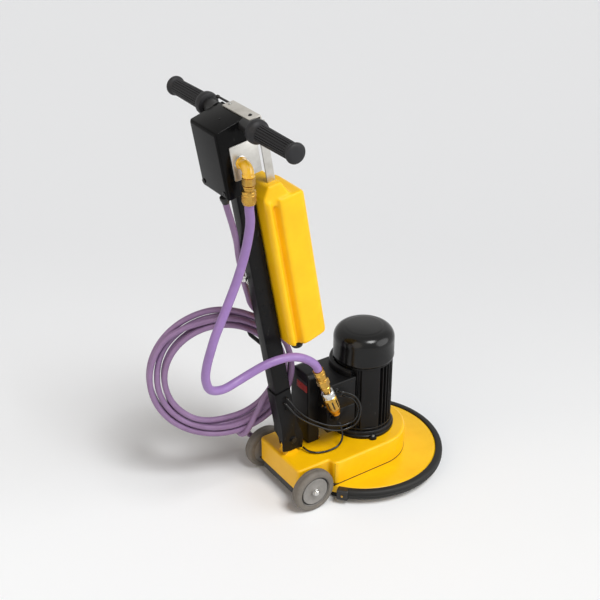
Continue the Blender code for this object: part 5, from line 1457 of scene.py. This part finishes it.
# ---- boxes behind the motor ----
@dataclass
class Boxes(Assembly):
    """The terminal box, the block under it, the capacitor box and their small fittings."""

    left: float = -0.080
    right: float = 0.055
    rear: float = -0.165
    motor_clear: float = 0.0878
    cover_front: float = -0.1653
    cover_rear: float = -0.2033
    elbow_at: Row = (-0.150, 0.236)

    def hugged(self, piece: Piece, name: str) -> Piece:
        """Cuts the motor's round out of a box that stands against it, and names the box."""
        piece.name = name
        return Bench.carved(piece, Bench.rod("motor_round", self.motor_clear, 0.10, 0.50, 96))

    def build(self) -> None:
        """Builds the boxes, then the elbow and the small fittings."""
        self.terminal_box()
        self.feed_block()
        self.capacitor()
        self.elbow()
        self.fittings()

    def terminal_box(self) -> None:
        """The box behind the motor, its lid, and the cable saddle on the lid."""
        box = Bench.block("box", (self.left, self.rear, 0.2503), (self.right, -0.050, 0.3290))
        Bench.rounded(box, upright(0.05), 0.006, 5)
        Bench.softened(box, 0.0012, 2, 60.0)
        self.hugged(box, "terminal_box_base")
        self.hand_over(box, Body.CHASSIS, BLACK_CASTING, ("terminal_box",), 30.0)
        lid = Bench.block("lid", (self.left - 0.0008, self.rear - 0.0002, 0.3297),
                          (self.right + 0.0012, -0.052, 0.3420))
        Bench.rounded(lid, upright(0.005), 0.0065, 5)
        Bench.rounded(lid, above(0.3415), 0.0035, 4)
        self.hugged(lid, "terminal_box_lid")
        self.hand_over(lid, Body.CHASSIS, BLACK_CASTING, (), 30.0)
        saddle = Bench.ring("cable_saddle", [
            (0.0908, 0.3423), (0.1010, 0.3423), (0.1010, 0.3570), (0.1002, 0.3600),
            (0.0980, 0.3625), (0.0950, 0.3638), (0.0908, 0.3640)], 40, radians(92.0),
            radians(-150.0))
        self.hand_over(saddle, Body.CHASSIS, BLACK_CASTING, (), 30.0)

    def feed_block(self) -> None:
        """The cast block under the terminal box, which the feed elbow enters."""
        under = Bench.block("under", (self.left + 0.010, self.rear, 0.1780),
                            (self.right, -0.0600, 0.2500))
        Bench.softened(under, 0.0045, 4)
        self.hugged(under, "feed_block_cast")
        self.hand_over(under, Body.CHASSIS, BLACK_CASTING, ("feed_block",))

    def capacitor(self) -> None:
        """The upright box with its big round shoulder, and the blank plates on its rear."""
        box = Bench.slab("capacitor_cover", [(-0.060, 0.1283), (0.010, 0.1283), (0.010, 0.365),
                                             (-0.082, 0.365), (-0.082, 0.160)],
                         -self.cover_front, -self.cover_rear)
        Bench.rounded(box, upright(0.02, lambda at: at.x < -0.08 and at.y > 0.3), 0.028, 12)
        Bench.rounded(box, upright(0.02, lambda at: at.x > 0.009 and at.y > 0.3), 0.017, 8)
        Bench.rounded(box, upright(0.02, lambda at: at.y < 0.17), 0.006, 4)
        Bench.rounded(box, above(-self.cover_rear - GAP), 0.0105, 7)
        Bench.place(box, Matrix.Rotation(pi / 2.0, 4, "X"))
        self.hand_over(box, Body.CHASSIS, BLACK_CASTING, ("capacitor_box",))
        face = self.cover_rear
        for name, thick, low, top, finish in (
                ("blank_red_plate", 0.0008, 0.3060, 0.3290, RED_FILM),
                ("blank_dark_band", 0.0007, 0.3295, 0.3390, BLACK_NYLON)):
            plate = Bench.block(name, (-0.0480, face - thick, low), (0.0040, face - 0.00005, top))
            Bench.rounded(plate, lambda a, b: abs(a.y - b.y) > 0.0005, 0.0016, 4)
            self.hand_over(plate, Body.CHASSIS, finish)

    def elbow(self) -> None:
        """The black street elbow under the coupler, with a collar where it enters the block."""
        face, bend, (y, low) = self.right + GAP, 0.0192, self.elbow_at
        bow = arc((face + 0.004, low + bend), bend, -pi / 2.0, 0.0, 14)
        knee = Vector((0.0785, y, 0.2552))
        spine = [(face, y, low), *[(x, y, z) for x, z in bow],
                 tuple(knee - Hoses.coupler_aim * 0.0057)]
        pipe = Bench.wire("elbow_pipe", spine, 0.0092, 8)
        collar = Bench.turned("elbow_collar", [
            (0.0, 0.0), (0.0125, 0.0), (0.0130, 0.001), (0.0130, 0.0050), (0.0120, 0.0062),
            (0.0, 0.0062)], 48)
        Bench.place(collar, along_x(face, y, low))
        piece = Bench.together("feed_elbow_cast", pipe, collar)
        self.hand_over(piece, Body.CHASSIS, BLACK_CASTING, ("feed_elbow",), 40.0)

    def fittings(self) -> None:
        """The cable glands on the right, and the screws that hold the boxes."""
        for number, (y, z) in enumerate(((-0.120, 0.300), (-0.136, 0.319), (-0.125, 0.196))):
            self.drive(f"cable_gland_{number + 1}", (0.0058, 0.0052),
                       along_x(self.right - 0.0002, y, z), Body.CHASSIS, BLACK_NYLON)
        for number, (x, z) in enumerate(((0.028, 0.262), (0.046, 0.268), (0.046, 0.318))):
            ground = number == 0
            self.drive(f"box_screw_{number + 1}", (0.0034, 0.0026),
                       towards(REARWARDS, Vector((x, self.rear, z))), Body.CHASSIS,
                       TURNED_BRASS if ground else ZINC, ground)


@dataclass
class Coupler(Assembly):
    """The quick coupler at the end of the feed hose."""

    length: float = 0.1836
    slots: int = 9

    def build(self) -> None:
        """Turns the stem, the sliding sleeve and the slotted body and sets them in line."""
        place = towards(Hoses.coupler_aim, Hoses.coupler_start)
        tail = Bench.turned("stem", [
            (0.0, GAP), (0.0148, GAP), (0.0157, 0.0020), (0.0157, 0.0095), (0.0148, 0.0108),
            (0.0148, 0.0120), (0.0160, 0.0134), (0.0160, 0.0290), (0.0152, 0.0310),
            (0.0142, 0.0325), (0.0142, 0.0360), (0.0150, 0.0372), (0.0150, 0.0608),
            (0.0140, 0.0622), (0.0140, 0.0665), (0.0148, 0.0672), (0.0148, 0.0760),
            (0.0122, 0.0728), (0.0122, 0.0806), (0.0, 0.0806)], 64)
        nut = Bench.turned("stem_nut", [(0.0, 0.0380), (0.0160, 0.0380), (0.0182, 0.0398),
                                        (0.0182, 0.0582), (0.0160, 0.0600), (0.0, 0.0600)], 6)
        stem = Bench.together("coupler_stem_turned", tail, nut)
        self.hand_over(Bench.place(stem, place), Body.CHASSIS, TURNED_BRASS, ("coupler_stem",),
                       30.0)
        sleeve = Bench.ring("coupler_sleeve_plated", [
            (0.0121, 0.0874), (0.0140, 0.0874), (0.0165, 0.0883), (0.0181, 0.0902),
            (0.0189, 0.0930), (0.0191, 0.0960), (0.0191, 0.1060), (0.0186, 0.1064),
            (0.0186, 0.1072), (0.0191, 0.1076), (0.0188, 0.1092), (0.0180, 0.1100),
            (0.0121, 0.1100)], 72)
        self.hand_over(Bench.place(sleeve, place), Body.COUPLER, NICKEL, ("coupler_sleeve",), 30.0)
        shell = Bench.turned("shell", [
            (0.0, 0.0810), (0.0113, 0.0810), (0.0113, 0.1103), (0.0176, 0.1105), (0.0192, 0.1125),
            (0.0200, 0.1160), (0.0200, 0.1530), (0.0192, 0.1590), (0.0172, 0.1680),
            (0.0150, 0.1730), (0.0142, 0.1745), (0.0142, 0.1800), (0.0132, self.length - GAP),
            (0.0, self.length - GAP)], 72)
        slot = Bench.block("slot", (0.0168, -0.0021, 0.1190), (0.0230, 0.0021, 0.1500))
        Bench.carved(shell, Bench.round_about(slot, self.slots))
        shell.name = "coupler_body_slotted"
        self.hand_over(Bench.place(shell, place), Body.CHASSIS, TURNED_BRASS, ("coupler_body",),
                       30.0)
        # Painted shade: a black sleeve inside the body shows through the slots, so that they look
        # dark as in shadow.
        dark = Bench.ring("coupler_slot_shade_lining", [(0.0150, 0.1200), (0.0171, 0.1200),
                                                  (0.0171, 0.1490), (0.0150, 0.1490)], 48)
        self.hand_over(Bench.place(dark, place), Body.CHASSIS, BLACK_NYLON)


# ---- leaning handle ----
@dataclass
class Column(Assembly):
    """The square column, the yoke at its foot, the hose hook and the hose clip."""

    half_width: float = 0.020
    half_depth: float = 0.025
    foot: float = 0.020
    head: float = 0.925
    cheek: float = 0.0035
    wall: float = 0.003

    def build(self) -> None:
        """Builds the column from its foot up, then its hook and its clip."""
        width, depth, wall = self.half_width, self.half_depth, self.wall
        tube = Bench.slab("column_section", [(-width, -depth), (width, -depth), (width, depth),
                                             (-width, depth)], self.foot, self.head)
        Bench.rounded(tube, upright(0.1), 0.0045, 5)
        bore = Bench.block("bore", (-width + wall, -depth + wall, self.foot - 0.01),
                           (width - wall, depth - wall, self.head - 0.02))
        self.lean(Bench.carved(tube, bore), BLACK_COATED, ("column_tube",))
        self.yoke()
        self.hook()
        self.clip()

    def yoke(self) -> None:
        """The folded yoke: two cheeks that reach the pin and a web behind the column."""
        inner = self.half_width + GAP
        outer, back = inner + self.cheek, -self.half_depth - GAP
        edge = back - self.cheek
        side = [(-0.0395, -0.0225), (-0.0260, -0.0290), (-0.0120, -0.0330), (0.0060, -0.0345),
                (0.0160, -0.0385), (0.0245, -0.0425), (0.0290, -0.0270), (0.0345, -0.0080),
                (0.0335, 0.0100), (0.0290, 0.0300), (0.0240, 0.0550), (0.0205, 0.0850),
                (0.0200, 0.1700), (0.0190, 0.1815), (edge, 0.1815), (edge, 0.0550),
                (-0.0330, 0.0200)]
        yoke = Bench.side_slab("yoke_folded", side, -outer, outer)
        Bench.rounded(yoke, lambda a, b: abs(a.x) > inner and abs(b.x) > inner
                      and max(a.y, b.y) < edge + 0.001 and abs(a.x - b.x) < 0.001, 0.0034, 4)
        slot = Bench.block("slot", (-inner, back, -0.08), (inner, 0.08, 0.21))
        gap = Bench.block("gap", (-inner, -0.08, -0.08), (inner, 0.08, 0.003))
        far = Bench.slab("far_foot", [(-0.05, -0.08), (0.0200, -0.08), (0.0200, 0.0030),
                                      (-0.0203, 0.0300), (-0.05, 0.0400)], 0.022, 0.080)
        Bench.place(far, Matrix.Rotation(pi / 2.0, 4, "X"))
        hole = Bench.rod("hole", 0.0063, -0.05, 0.05, 32)
        Bench.carved(yoke, slot, gap, far, Bench.place(hole, along_x(0.0, 0.0, 0.0)))
        Bench.softened(yoke, 0.0007, 2, 50.0)
        self.lean(yoke, BLACK_COATED, ("yoke",), 30.0)
        for name, x, left in (("left", -outer - GAP, True), ("right", outer + GAP, False)):
            self.drive(f"pivot_nut_{name}", (0.0086, 0.0036),
                       along_x(x, PIVOT.y, PIVOT.z, left), Body.CHASSIS, BLACKED_PIN)
        for number, height in enumerate((0.118, 0.160)):
            self.drive(f"yoke_screw_{number + 1}", (0.0042, 0.0018),
                       LEAN @ along_x(outer, -0.004, height), Body.HANDLE, BLACK_COATED, False)

    def hook(self) -> None:
        """The bent bar on the column's left that carries the coil."""
        face, y, z = -self.half_width - GAP, -0.313, Coil.hook_height
        bend = arc((-0.1163, z + 0.012), 0.012, -pi / 2.0, -pi, 8)
        spine = [(face - 0.003, y, z), (-0.070, y, z), *[(x, y, height) for x, height in bend],
                 (-0.1283, y, z + 0.0285), (-0.1283, y, z + 0.0300)]
        bar = Bench.wire("hook_bar", spine, 0.0058, 6)
        flange = Bench.turned("hook_flange", [(0.0, 0.0), (0.0140, 0.0), (0.0140, 0.0030),
                                              (0.0128, 0.0042), (0.0075, 0.0046), (0.0062, 0.0062),
                                              (0.0, 0.0062)], 40)
        Bench.place(flange, along_x(face, y, z, left=True))
        hook = Bench.together("hose_hook_bent", bar, flange)
        self.hand_over(hook, Body.HANDLE, BLACK_COATED, ("hose_hook",), 40.0)

    def clip(self) -> None:
        """The plated spring clip for the flex, screwed to the column's rear face."""
        ring = Bench.ring("clip_ring", [(0.0066, -0.0050), (0.0080, -0.0050), (0.0080, 0.0050),
                                        (0.0066, 0.0050)], 40)
        Bench.place(ring, Matrix.Translation((-0.0130, -self.half_depth - 0.0095, 0.566)))
        tab = Bench.block("clip_tab", (-0.0180, -self.half_depth - 0.0016, 0.545),
                          (-0.0080, -self.half_depth - 0.0002, 0.580))
        screw = Bench.screw("clip_screw", 0.0034, 0.0024)
        seat = towards(REARWARDS, Vector((-0.0130, -self.half_depth - 0.0015, 0.5500)))
        clip = Bench.together("flex_clip", ring, tab, Bench.place(screw, seat))
        self.lean(clip, NICKEL, (), 40.0)


@dataclass
class Head(Assembly):
    """The control box, its rear cover, the clamp plate over the handlebar and their screws."""

    left: float = -0.066
    right: float = 0.060
    rear: float = -0.070
    split: float = -0.0660
    bar: Row = (0.012, 1.023)

    def build(self) -> None:
        """Builds the box, splits its cover off and lays the clamp plate over it."""
        rear = self.rear
        side = [(rear, 0.845), (-0.0288, 0.845), (-0.0288, 0.9253), (0.030, 0.9253),
                (0.030, 1.0385), (self.bar[0], 1.0385), (rear, 1.027)]
        block = Bench.side_slab("box_block", side, self.left, self.right)
        Bench.rounded(block, lambda a, b: max(a.y, b.y) < rear + 0.001, 0.0085, 7)
        Bench.softened(block, 0.0022, 3, 35.0)
        cover = Bench.copied(block, "control_box_lid", Matrix.Identity(4))
        Bench.carved(cover, Bench.block("keep", (-0.2, self.split - 0.0002, 0.7), (0.2, 0.2, 1.2)))
        hole = Bench.rod("hole", Bars.radius + GAP, -0.2, 0.2, 48)
        Bench.place(hole, along_x(0.0, *self.bar))
        space = Bench.block("space", (-0.2, -0.2, 0.7), (0.2, self.split + GAP, 1.2))
        Bench.carved(block, space, hole)
        block.name = "control_box_case"
        self.lean(block, BLACK_GLOSS, ("control_box",), 30.0)
        self.lean(cover, BLACK_GLOSS, ("control_box_cover",), 30.0)
        for number, x in enumerate((self.left + 0.014, self.right - 0.014)):
            seat = LEAN @ towards(REARWARDS, Vector((x, rear - 0.00005, 0.862)))
            self.drive(f"cover_screw_{number + 1}", (0.0062, 0.0022), seat, Body.HANDLE,
                       BLACK_NYLON, False)
        self.drive("box_top_screw", (0.0022, 0.0012),
                   LEAN @ Matrix.Translation((0.005, -0.022, 1.0336)), Body.HANDLE, BLACK_NYLON,
                   False)
        self.clamp()

    def clamp(self) -> None:
        """The folded plate that holds the handlebar down, and its two screws."""
        top = Bench.side_slab("clamp_top", [
            (0.0140, 1.0388), (0.0440, 1.0388), (0.0440, 1.0068), (0.0480, 1.0068),
            (0.0480, 1.0428), (0.0140, 1.0428)], -0.040, 0.085)
        Bench.rounded(top, lambda a, b: min(a.y, b.y) > 0.047 and min(a.z, b.z) > 1.042, 0.0030, 5)
        foot = Bench.side_slab("clamp_foot", [
            (0.0440, 0.9890), (0.0303, 0.9890), (0.0303, 0.9850), (0.0480, 0.9850),
            (0.0480, 1.0328), (0.0440, 1.0328)], -0.039, 0.056)
        plate = Bench.carved(top, foot, how="UNION")
        Bench.softened(plate, 0.0006, 2, 50.0)
        plate.name = "clamp_plate_folded"
        self.lean(plate, ALUMINIUM_STRAP, ("clamp_plate",), 30.0)
        for number, (x, finish) in enumerate(((-0.028, ZINC), (0.066, BLACKED_PIN))):
            self.drive(f"clamp_screw_{number + 1}", (0.0038, 0.0030),
                       LEAN @ Matrix.Translation((x, 0.0290, 1.04275)), Body.HANDLE, finish)


@dataclass
class Bars(Assembly):
    """The handlebar, its two ribbed grips and the switch lever."""

    half: float = 0.270
    radius: float = 0.0125
    ribs: int = 22

    def build(self) -> None:
        """Builds the bar, a grip for each end and the lever."""
        across = LEAN @ along_x(0.0, *Head.bar)
        rod = Bench.rod("handlebar_tube", self.radius, -self.half, self.half, 48)
        self.hand_over(Bench.place(rod, across), Body.HANDLE, BLACK_COATED, ("handlebar",), 40.0)
        for side, start in (("right", 0.0605), ("left", 0.0665)):
            turn = Matrix.Rotation(pi, 4, "X") if side == "left" else Matrix.Identity(4)
            grip = Bench.place(self.grip(f"grip_{side}_ribbed"), across @ turn)
            self.hand_over(grip, Body.HANDLE, GRIP_RUBBER, (f"grip_{side}",))
            sleeve = Bench.ring(f"bar_sleeve_{side}", [
                (self.radius + GAP, start), (0.0172, start), (0.0180, start + 0.0010),
                (0.0180, 0.1055), (0.0172, 0.1065), (self.radius + GAP, 0.1065)], 48)
            self.hand_over(Bench.place(sleeve, across @ turn), Body.HANDLE, BLACK_NYLON)
        self.lever()

    def grip(self, name: str) -> Piece:
        """Moulds a grip along the z axis, with a collar, a ribbed barrel and a flared end.

        Args:
            name: The grip's name.

        Returns:
            The grip.
        """
        bore = self.radius + GAP
        barrel = Bench.turned("barrel", [
            (0.0, 0.2868), (0.0120, 0.2868), (0.0195, 0.2862), (0.0235, 0.2846), (0.0254, 0.2820),
            (0.0258, 0.2790), (0.0252, 0.2758), (0.0236, 0.2730), (0.0214, 0.2708),
            (0.0200, 0.2690), (0.0188, 0.2640), (0.0202, 0.1400), (0.0222, 0.1340),
            (0.0250, 0.1298), (0.0284, 0.1272), (0.0300, 0.1240), (0.0306, 0.1195),
            (0.0306, 0.1155), (0.0302, 0.1118), (0.0290, 0.1086), (0.0265, 0.1070),
            (bore, 0.1070), (bore, self.half + GAP), (0.0, self.half + GAP)], 72)
        rib = Bench.side_slab("rib", [(0.0180, 0.1340), (0.0228, 0.1395), (0.0214, 0.2610),
                                      (0.0180, 0.2665)], -0.0018, 0.0018)
        Bench.rounded(rib, lambda a, b: min(a.y, b.y) > 0.0205, 0.0010, 3)
        return Bench.together(name, barrel, Bench.round_about(rib, self.ribs))

    def lever(self) -> None:
        """The slim lever in front of the bar, with a bead at its free end."""
        bar = Bench.turned("switch_lever_bar", [
            (0.0, -0.0030), (0.0022, -0.0030), (0.0030, -0.0022), (0.0030, 0.0430),
            (0.0036, 0.0450), (0.0045, 0.0475), (0.0045, 0.0525), (0.0036, 0.0550),
            (0.0018, 0.0557), (0.0, 0.0557)], 32)
        Bench.place(bar, LEAN @ along_x(-0.0433, 0.034, 1.0405, left=True))
        self.hand_over(bar, Body.LEVER, BLACK_NYLON, ("switch_lever",))


@dataclass
class Valve(Assembly):
    """The aluminium plate on the control box, the yellow elbow through it and the brass nut."""

    face: float = 0.0603
    gauge: float = 0.004
    centre: Row = (-0.019, 0.935)
    reach: float = 0.100
    mouth: float = 0.0245
    nut_length: float = 0.071
    ridges: int = 28

    def build(self) -> None:
        """Builds the plate with its washer, then the elbow and the nut."""
        q, h = self.centre
        out = self.face + self.gauge
        plate = Bench.side_slab("valve_sheet", [(-0.042, 0.890), (0.036, 0.890), (0.036, 0.982),
                                                (-0.042, 0.982)], self.face, out)
        Bench.rounded(plate, lambda a, b: abs(a.x - b.x) > 0.003, 0.0035, 5)
        Bench.softened(plate, 0.0005, 2, 50.0)
        hole = Bench.rod("hole", 0.0120, 0.0, 0.2, 48)
        Bench.carved(plate, Bench.place(hole, along_x(0.0, q, h)))
        plate.name = "valve_plate_sheet"
        self.lean(plate, ALUMINIUM_SHEET, ("valve_plate",), 30.0)
        washer = Bench.ring("valve_washer", [
            (0.0120, 0.0), (0.0172, 0.0), (0.0178, 0.0006), (0.0178, 0.0016), (0.0170, 0.0022),
            (0.0120, 0.0022)], 64)
        Bench.place(washer, LEAN @ along_x(out + 0.0001, q, h))
        self.hand_over(washer, Body.HANDLE, ZINC, (), 40.0)
        self.elbow()
        self.nut()

    def middle(self) -> Vector:
        """The valve's middle, in the machine's own frame."""
        return LEAN @ Vector((0.0, *self.centre))

    def elbow(self) -> None:
        """The lacquered elbow with a bead at each of its mouths."""
        centre, bend = self.middle(), 0.019
        bow = arc((self.reach - bend, centre.z - bend), bend, pi / 2.0, 0.0, 18)
        pipe = Bench.wire("elbow_bow", [(self.face + self.gauge + 0.0030, centre.y, centre.z),
                                        *[(x, centre.y, z) for x, z in bow],
                                        (self.reach, centre.y, centre.z - 0.0240)], 0.0146, 10)
        tail = Bench.turned("tail", [(0.0, self.face + GAP), (0.0110, self.face + GAP),
                                     (0.0110, 0.0668), (0.0156, 0.0672), (0.0160, 0.0684),
                                     (0.0160, 0.0716), (0.0153, 0.0730), (0.0, 0.0730)], 64)
        Bench.place(tail, along_x(0.0, centre.y, centre.z))
        mouth = Bench.turned("mouth", [(0.0, -self.mouth), (0.0150, -self.mouth), (0.0160, -0.0237),
                                       (0.0160, -0.0178), (0.0150, -0.0166), (0.0, -0.0160)], 64)
        Bench.place(mouth, Matrix.Translation((self.reach, centre.y, centre.z)))
        elbow = Bench.together("valve_elbow_cast", pipe, tail, mouth)
        self.hand_over(elbow, Body.HANDLE, YELLOW_LACQUER, ("valve_elbow",), 40.0)

    def nut(self) -> None:
        """The swivel nut: a hexagon, a waist and the knurled ring that grips the hose."""
        centre = self.middle()
        hexagon = Bench.turned("hexagon", [(0.0, 0.0), (0.0140, 0.0), (0.0168, -0.0022),
                                           (0.0168, -0.0200), (0.0140, -0.0222), (0.0, -0.0222)], 6)
        waist = Bench.turned("waist", [
            (0.0, -0.0210), (0.0140, -0.0222), (0.0150, -0.0228), (0.0150, -0.0262),
            (0.0132, -0.0280), (0.0130, -0.0330), (0.0150, -0.0345), (0.0172, -0.0362),
            (0.0180, -0.0385), (0.0180, -0.0420), (0.0173, -0.0430), (0.0173, -0.0445),
            (0.0180, -0.0455), (0.0180, -0.0640), (0.0170, -0.0665), (0.0158, -0.0680),
            (0.0156, -self.nut_length), (0.0, -self.nut_length)], 64)
        ridge = Bench.block("ridge", (0.0165, -0.0008, -0.0635), (0.0185, 0.0008, -0.0470))
        nut = Bench.together("swivel_nut_knurled", hexagon, waist,
                             Bench.round_about(ridge, self.ridges))
        Bench.place(nut, Matrix.Translation((self.reach, centre.y, centre.z - 0.0248)))
        self.hand_over(nut, Body.HANDLE, TURNED_BRASS, ("hose_swivel_nut",), 30.0)


@dataclass
class Tank(Assembly):
    """The moulded solution tank, the strap it hangs from and its drain cap."""

    half: float = 0.0655
    rear: float = 0.0282
    front: float = 0.1485
    low: float = 0.3335
    top: float = 0.7905
    teeth: int = 20

    def build(self) -> None:
        """Moulds the tank, then adds the hanger and the cap."""
        self.tank()
        strap = Bench.side_slab("hanger_strap", [
            (0.0483, 1.0000), (0.0830, 1.0000), (0.0830, 0.8320), (0.0600, 0.8320),
            (0.0600, 0.9700), (0.0483, 0.9700)], 0.0303, 0.0353)
        Bench.softened(strap, 0.0009, 3, 50.0)
        self.lean(strap, ALUMINIUM_SHEET, ("tank_hanger",), 40.0)
        cap = Bench.turned("cap", [
            (0.0, -0.0010), (0.0128, -0.0010), (0.0128, -0.0038), (0.0158, -0.0044),
            (0.0158, -0.0125), (0.0148, -0.0148), (0.0110, -0.0155), (0.0, -0.0155)], 64)
        tooth = Bench.block("tooth", (0.0150, -0.0010, -0.0125), (0.0165, 0.0010, -0.0046))
        cap = Bench.together("drain_cap_toothed", cap, Bench.round_about(tooth, self.teeth))
        Bench.place(cap, LEAN @ Matrix.Translation((0.034, 0.062, 0.334)))
        self.hand_over(cap, Body.DRAIN, BLACK_NYLON, ("drain_cap",), 30.0)

    def tank(self) -> None:
        """The moulding: a full-height channel in each flank, and all its edges melted round."""
        half, rear, front, low, top = self.half, self.rear, self.front, self.low, self.top
        flank = [(0.0455, rear), (0.0550, rear + 0.0020), (0.0615, rear + 0.0085),
                 (0.0630, rear + 0.0140), (0.0590, rear + 0.0190), (0.0470, rear + 0.0250),
                 (0.0450, rear + 0.0300), (0.0540, rear + 0.0350), (0.0640, rear + 0.0405),
                 (half, rear + 0.0460)]
        flank += arc((half - 0.018, front - 0.018), 0.018, 0.0, pi / 2.0, 8)
        plan = [*flank, *[(-x, q) for x, q in reversed(flank)]]
        tank = Bench.slab("tank_moulded", plan, low, top)
        keep = Bench.side_slab("keep", [
            (rear - 0.05, low + 0.012), (rear, low + 0.012), (rear + 0.025, low),
            (rear + 0.062, low), (front - 0.006, low + 0.007), (front, low + 0.017),
            (front + 0.05, low + 0.017), (front + 0.05, top - 0.010), (front, top - 0.010),
            (front - 0.012, top), (rear - 0.05, top)], -0.1, 0.1)
        Bench.carved(tank, keep, how="INTERSECT")
        neck = Bench.side_slab("neck", [
            (rear + 0.0005, top - 0.020), (0.1140, top - 0.010), (0.0930, 0.8210), (0.0880, 0.8328),
            (0.0480, 0.8328), (rear + 0.0005, 0.8000)], -0.0560, 0.0560)
        Bench.rounded(neck, lambda a, b: min(a.z, b.z) > 0.7999 and abs(a.x - b.x) < 0.001,
                      0.020, 6)
        Bench.carved(tank, neck, how="UNION")
        Bench.worked(tank, "REMESH", mode="VOXEL", voxel_size=0.0022)
        Bench.worked(tank, "SMOOTH", factor=0.5, iterations=34)
        Bench.worked(tank, "DECIMATE", ratio=0.35)
        self.lean(tank, YELLOW_TANK, ("tank",), 60.0)


@dataclass
class Internals(Assembly):
    """The hidden rotor, stator, bearings and gear, whose frame shapes are right as they are."""

    ground: tuple[str, ...] = (
        "rotor_shaft", "ring_gear", "planet_gear_1", "planet_gear_2", "planet_gear_3",
        "motor_bearing_lower", "motor_bearing_upper", "output_bearing")

    def build(self) -> None:
        """Dresses each kept node in what it is made of."""
        for node in self.ground:
            self.keep(node, GROUND_STEEL)
        self.keep("cooling_fan", BLACK_NYLON)
        self.keep("stator", COPPER_VARNISH)
        self.keep("planet_carrier", ZINC)


def main() -> None:
    """Builds the machine in order, from the camera and the hoses to the hidden gear."""
    logging.basicConfig(level=logging.INFO, format="%(message)s")
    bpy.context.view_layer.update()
    for assembly in (Studio(), Hoses(), Disc(), Chassis(), Wheel(left=True), Wheel(), Motor(),
                     Boxes(), Coupler(), Column(), Head(), Bars(), Valve(), Tank(), Internals()):
        log.info("building %s", type(assembly).__name__)
        assembly.build()


if __name__ == "__main__":
    main()
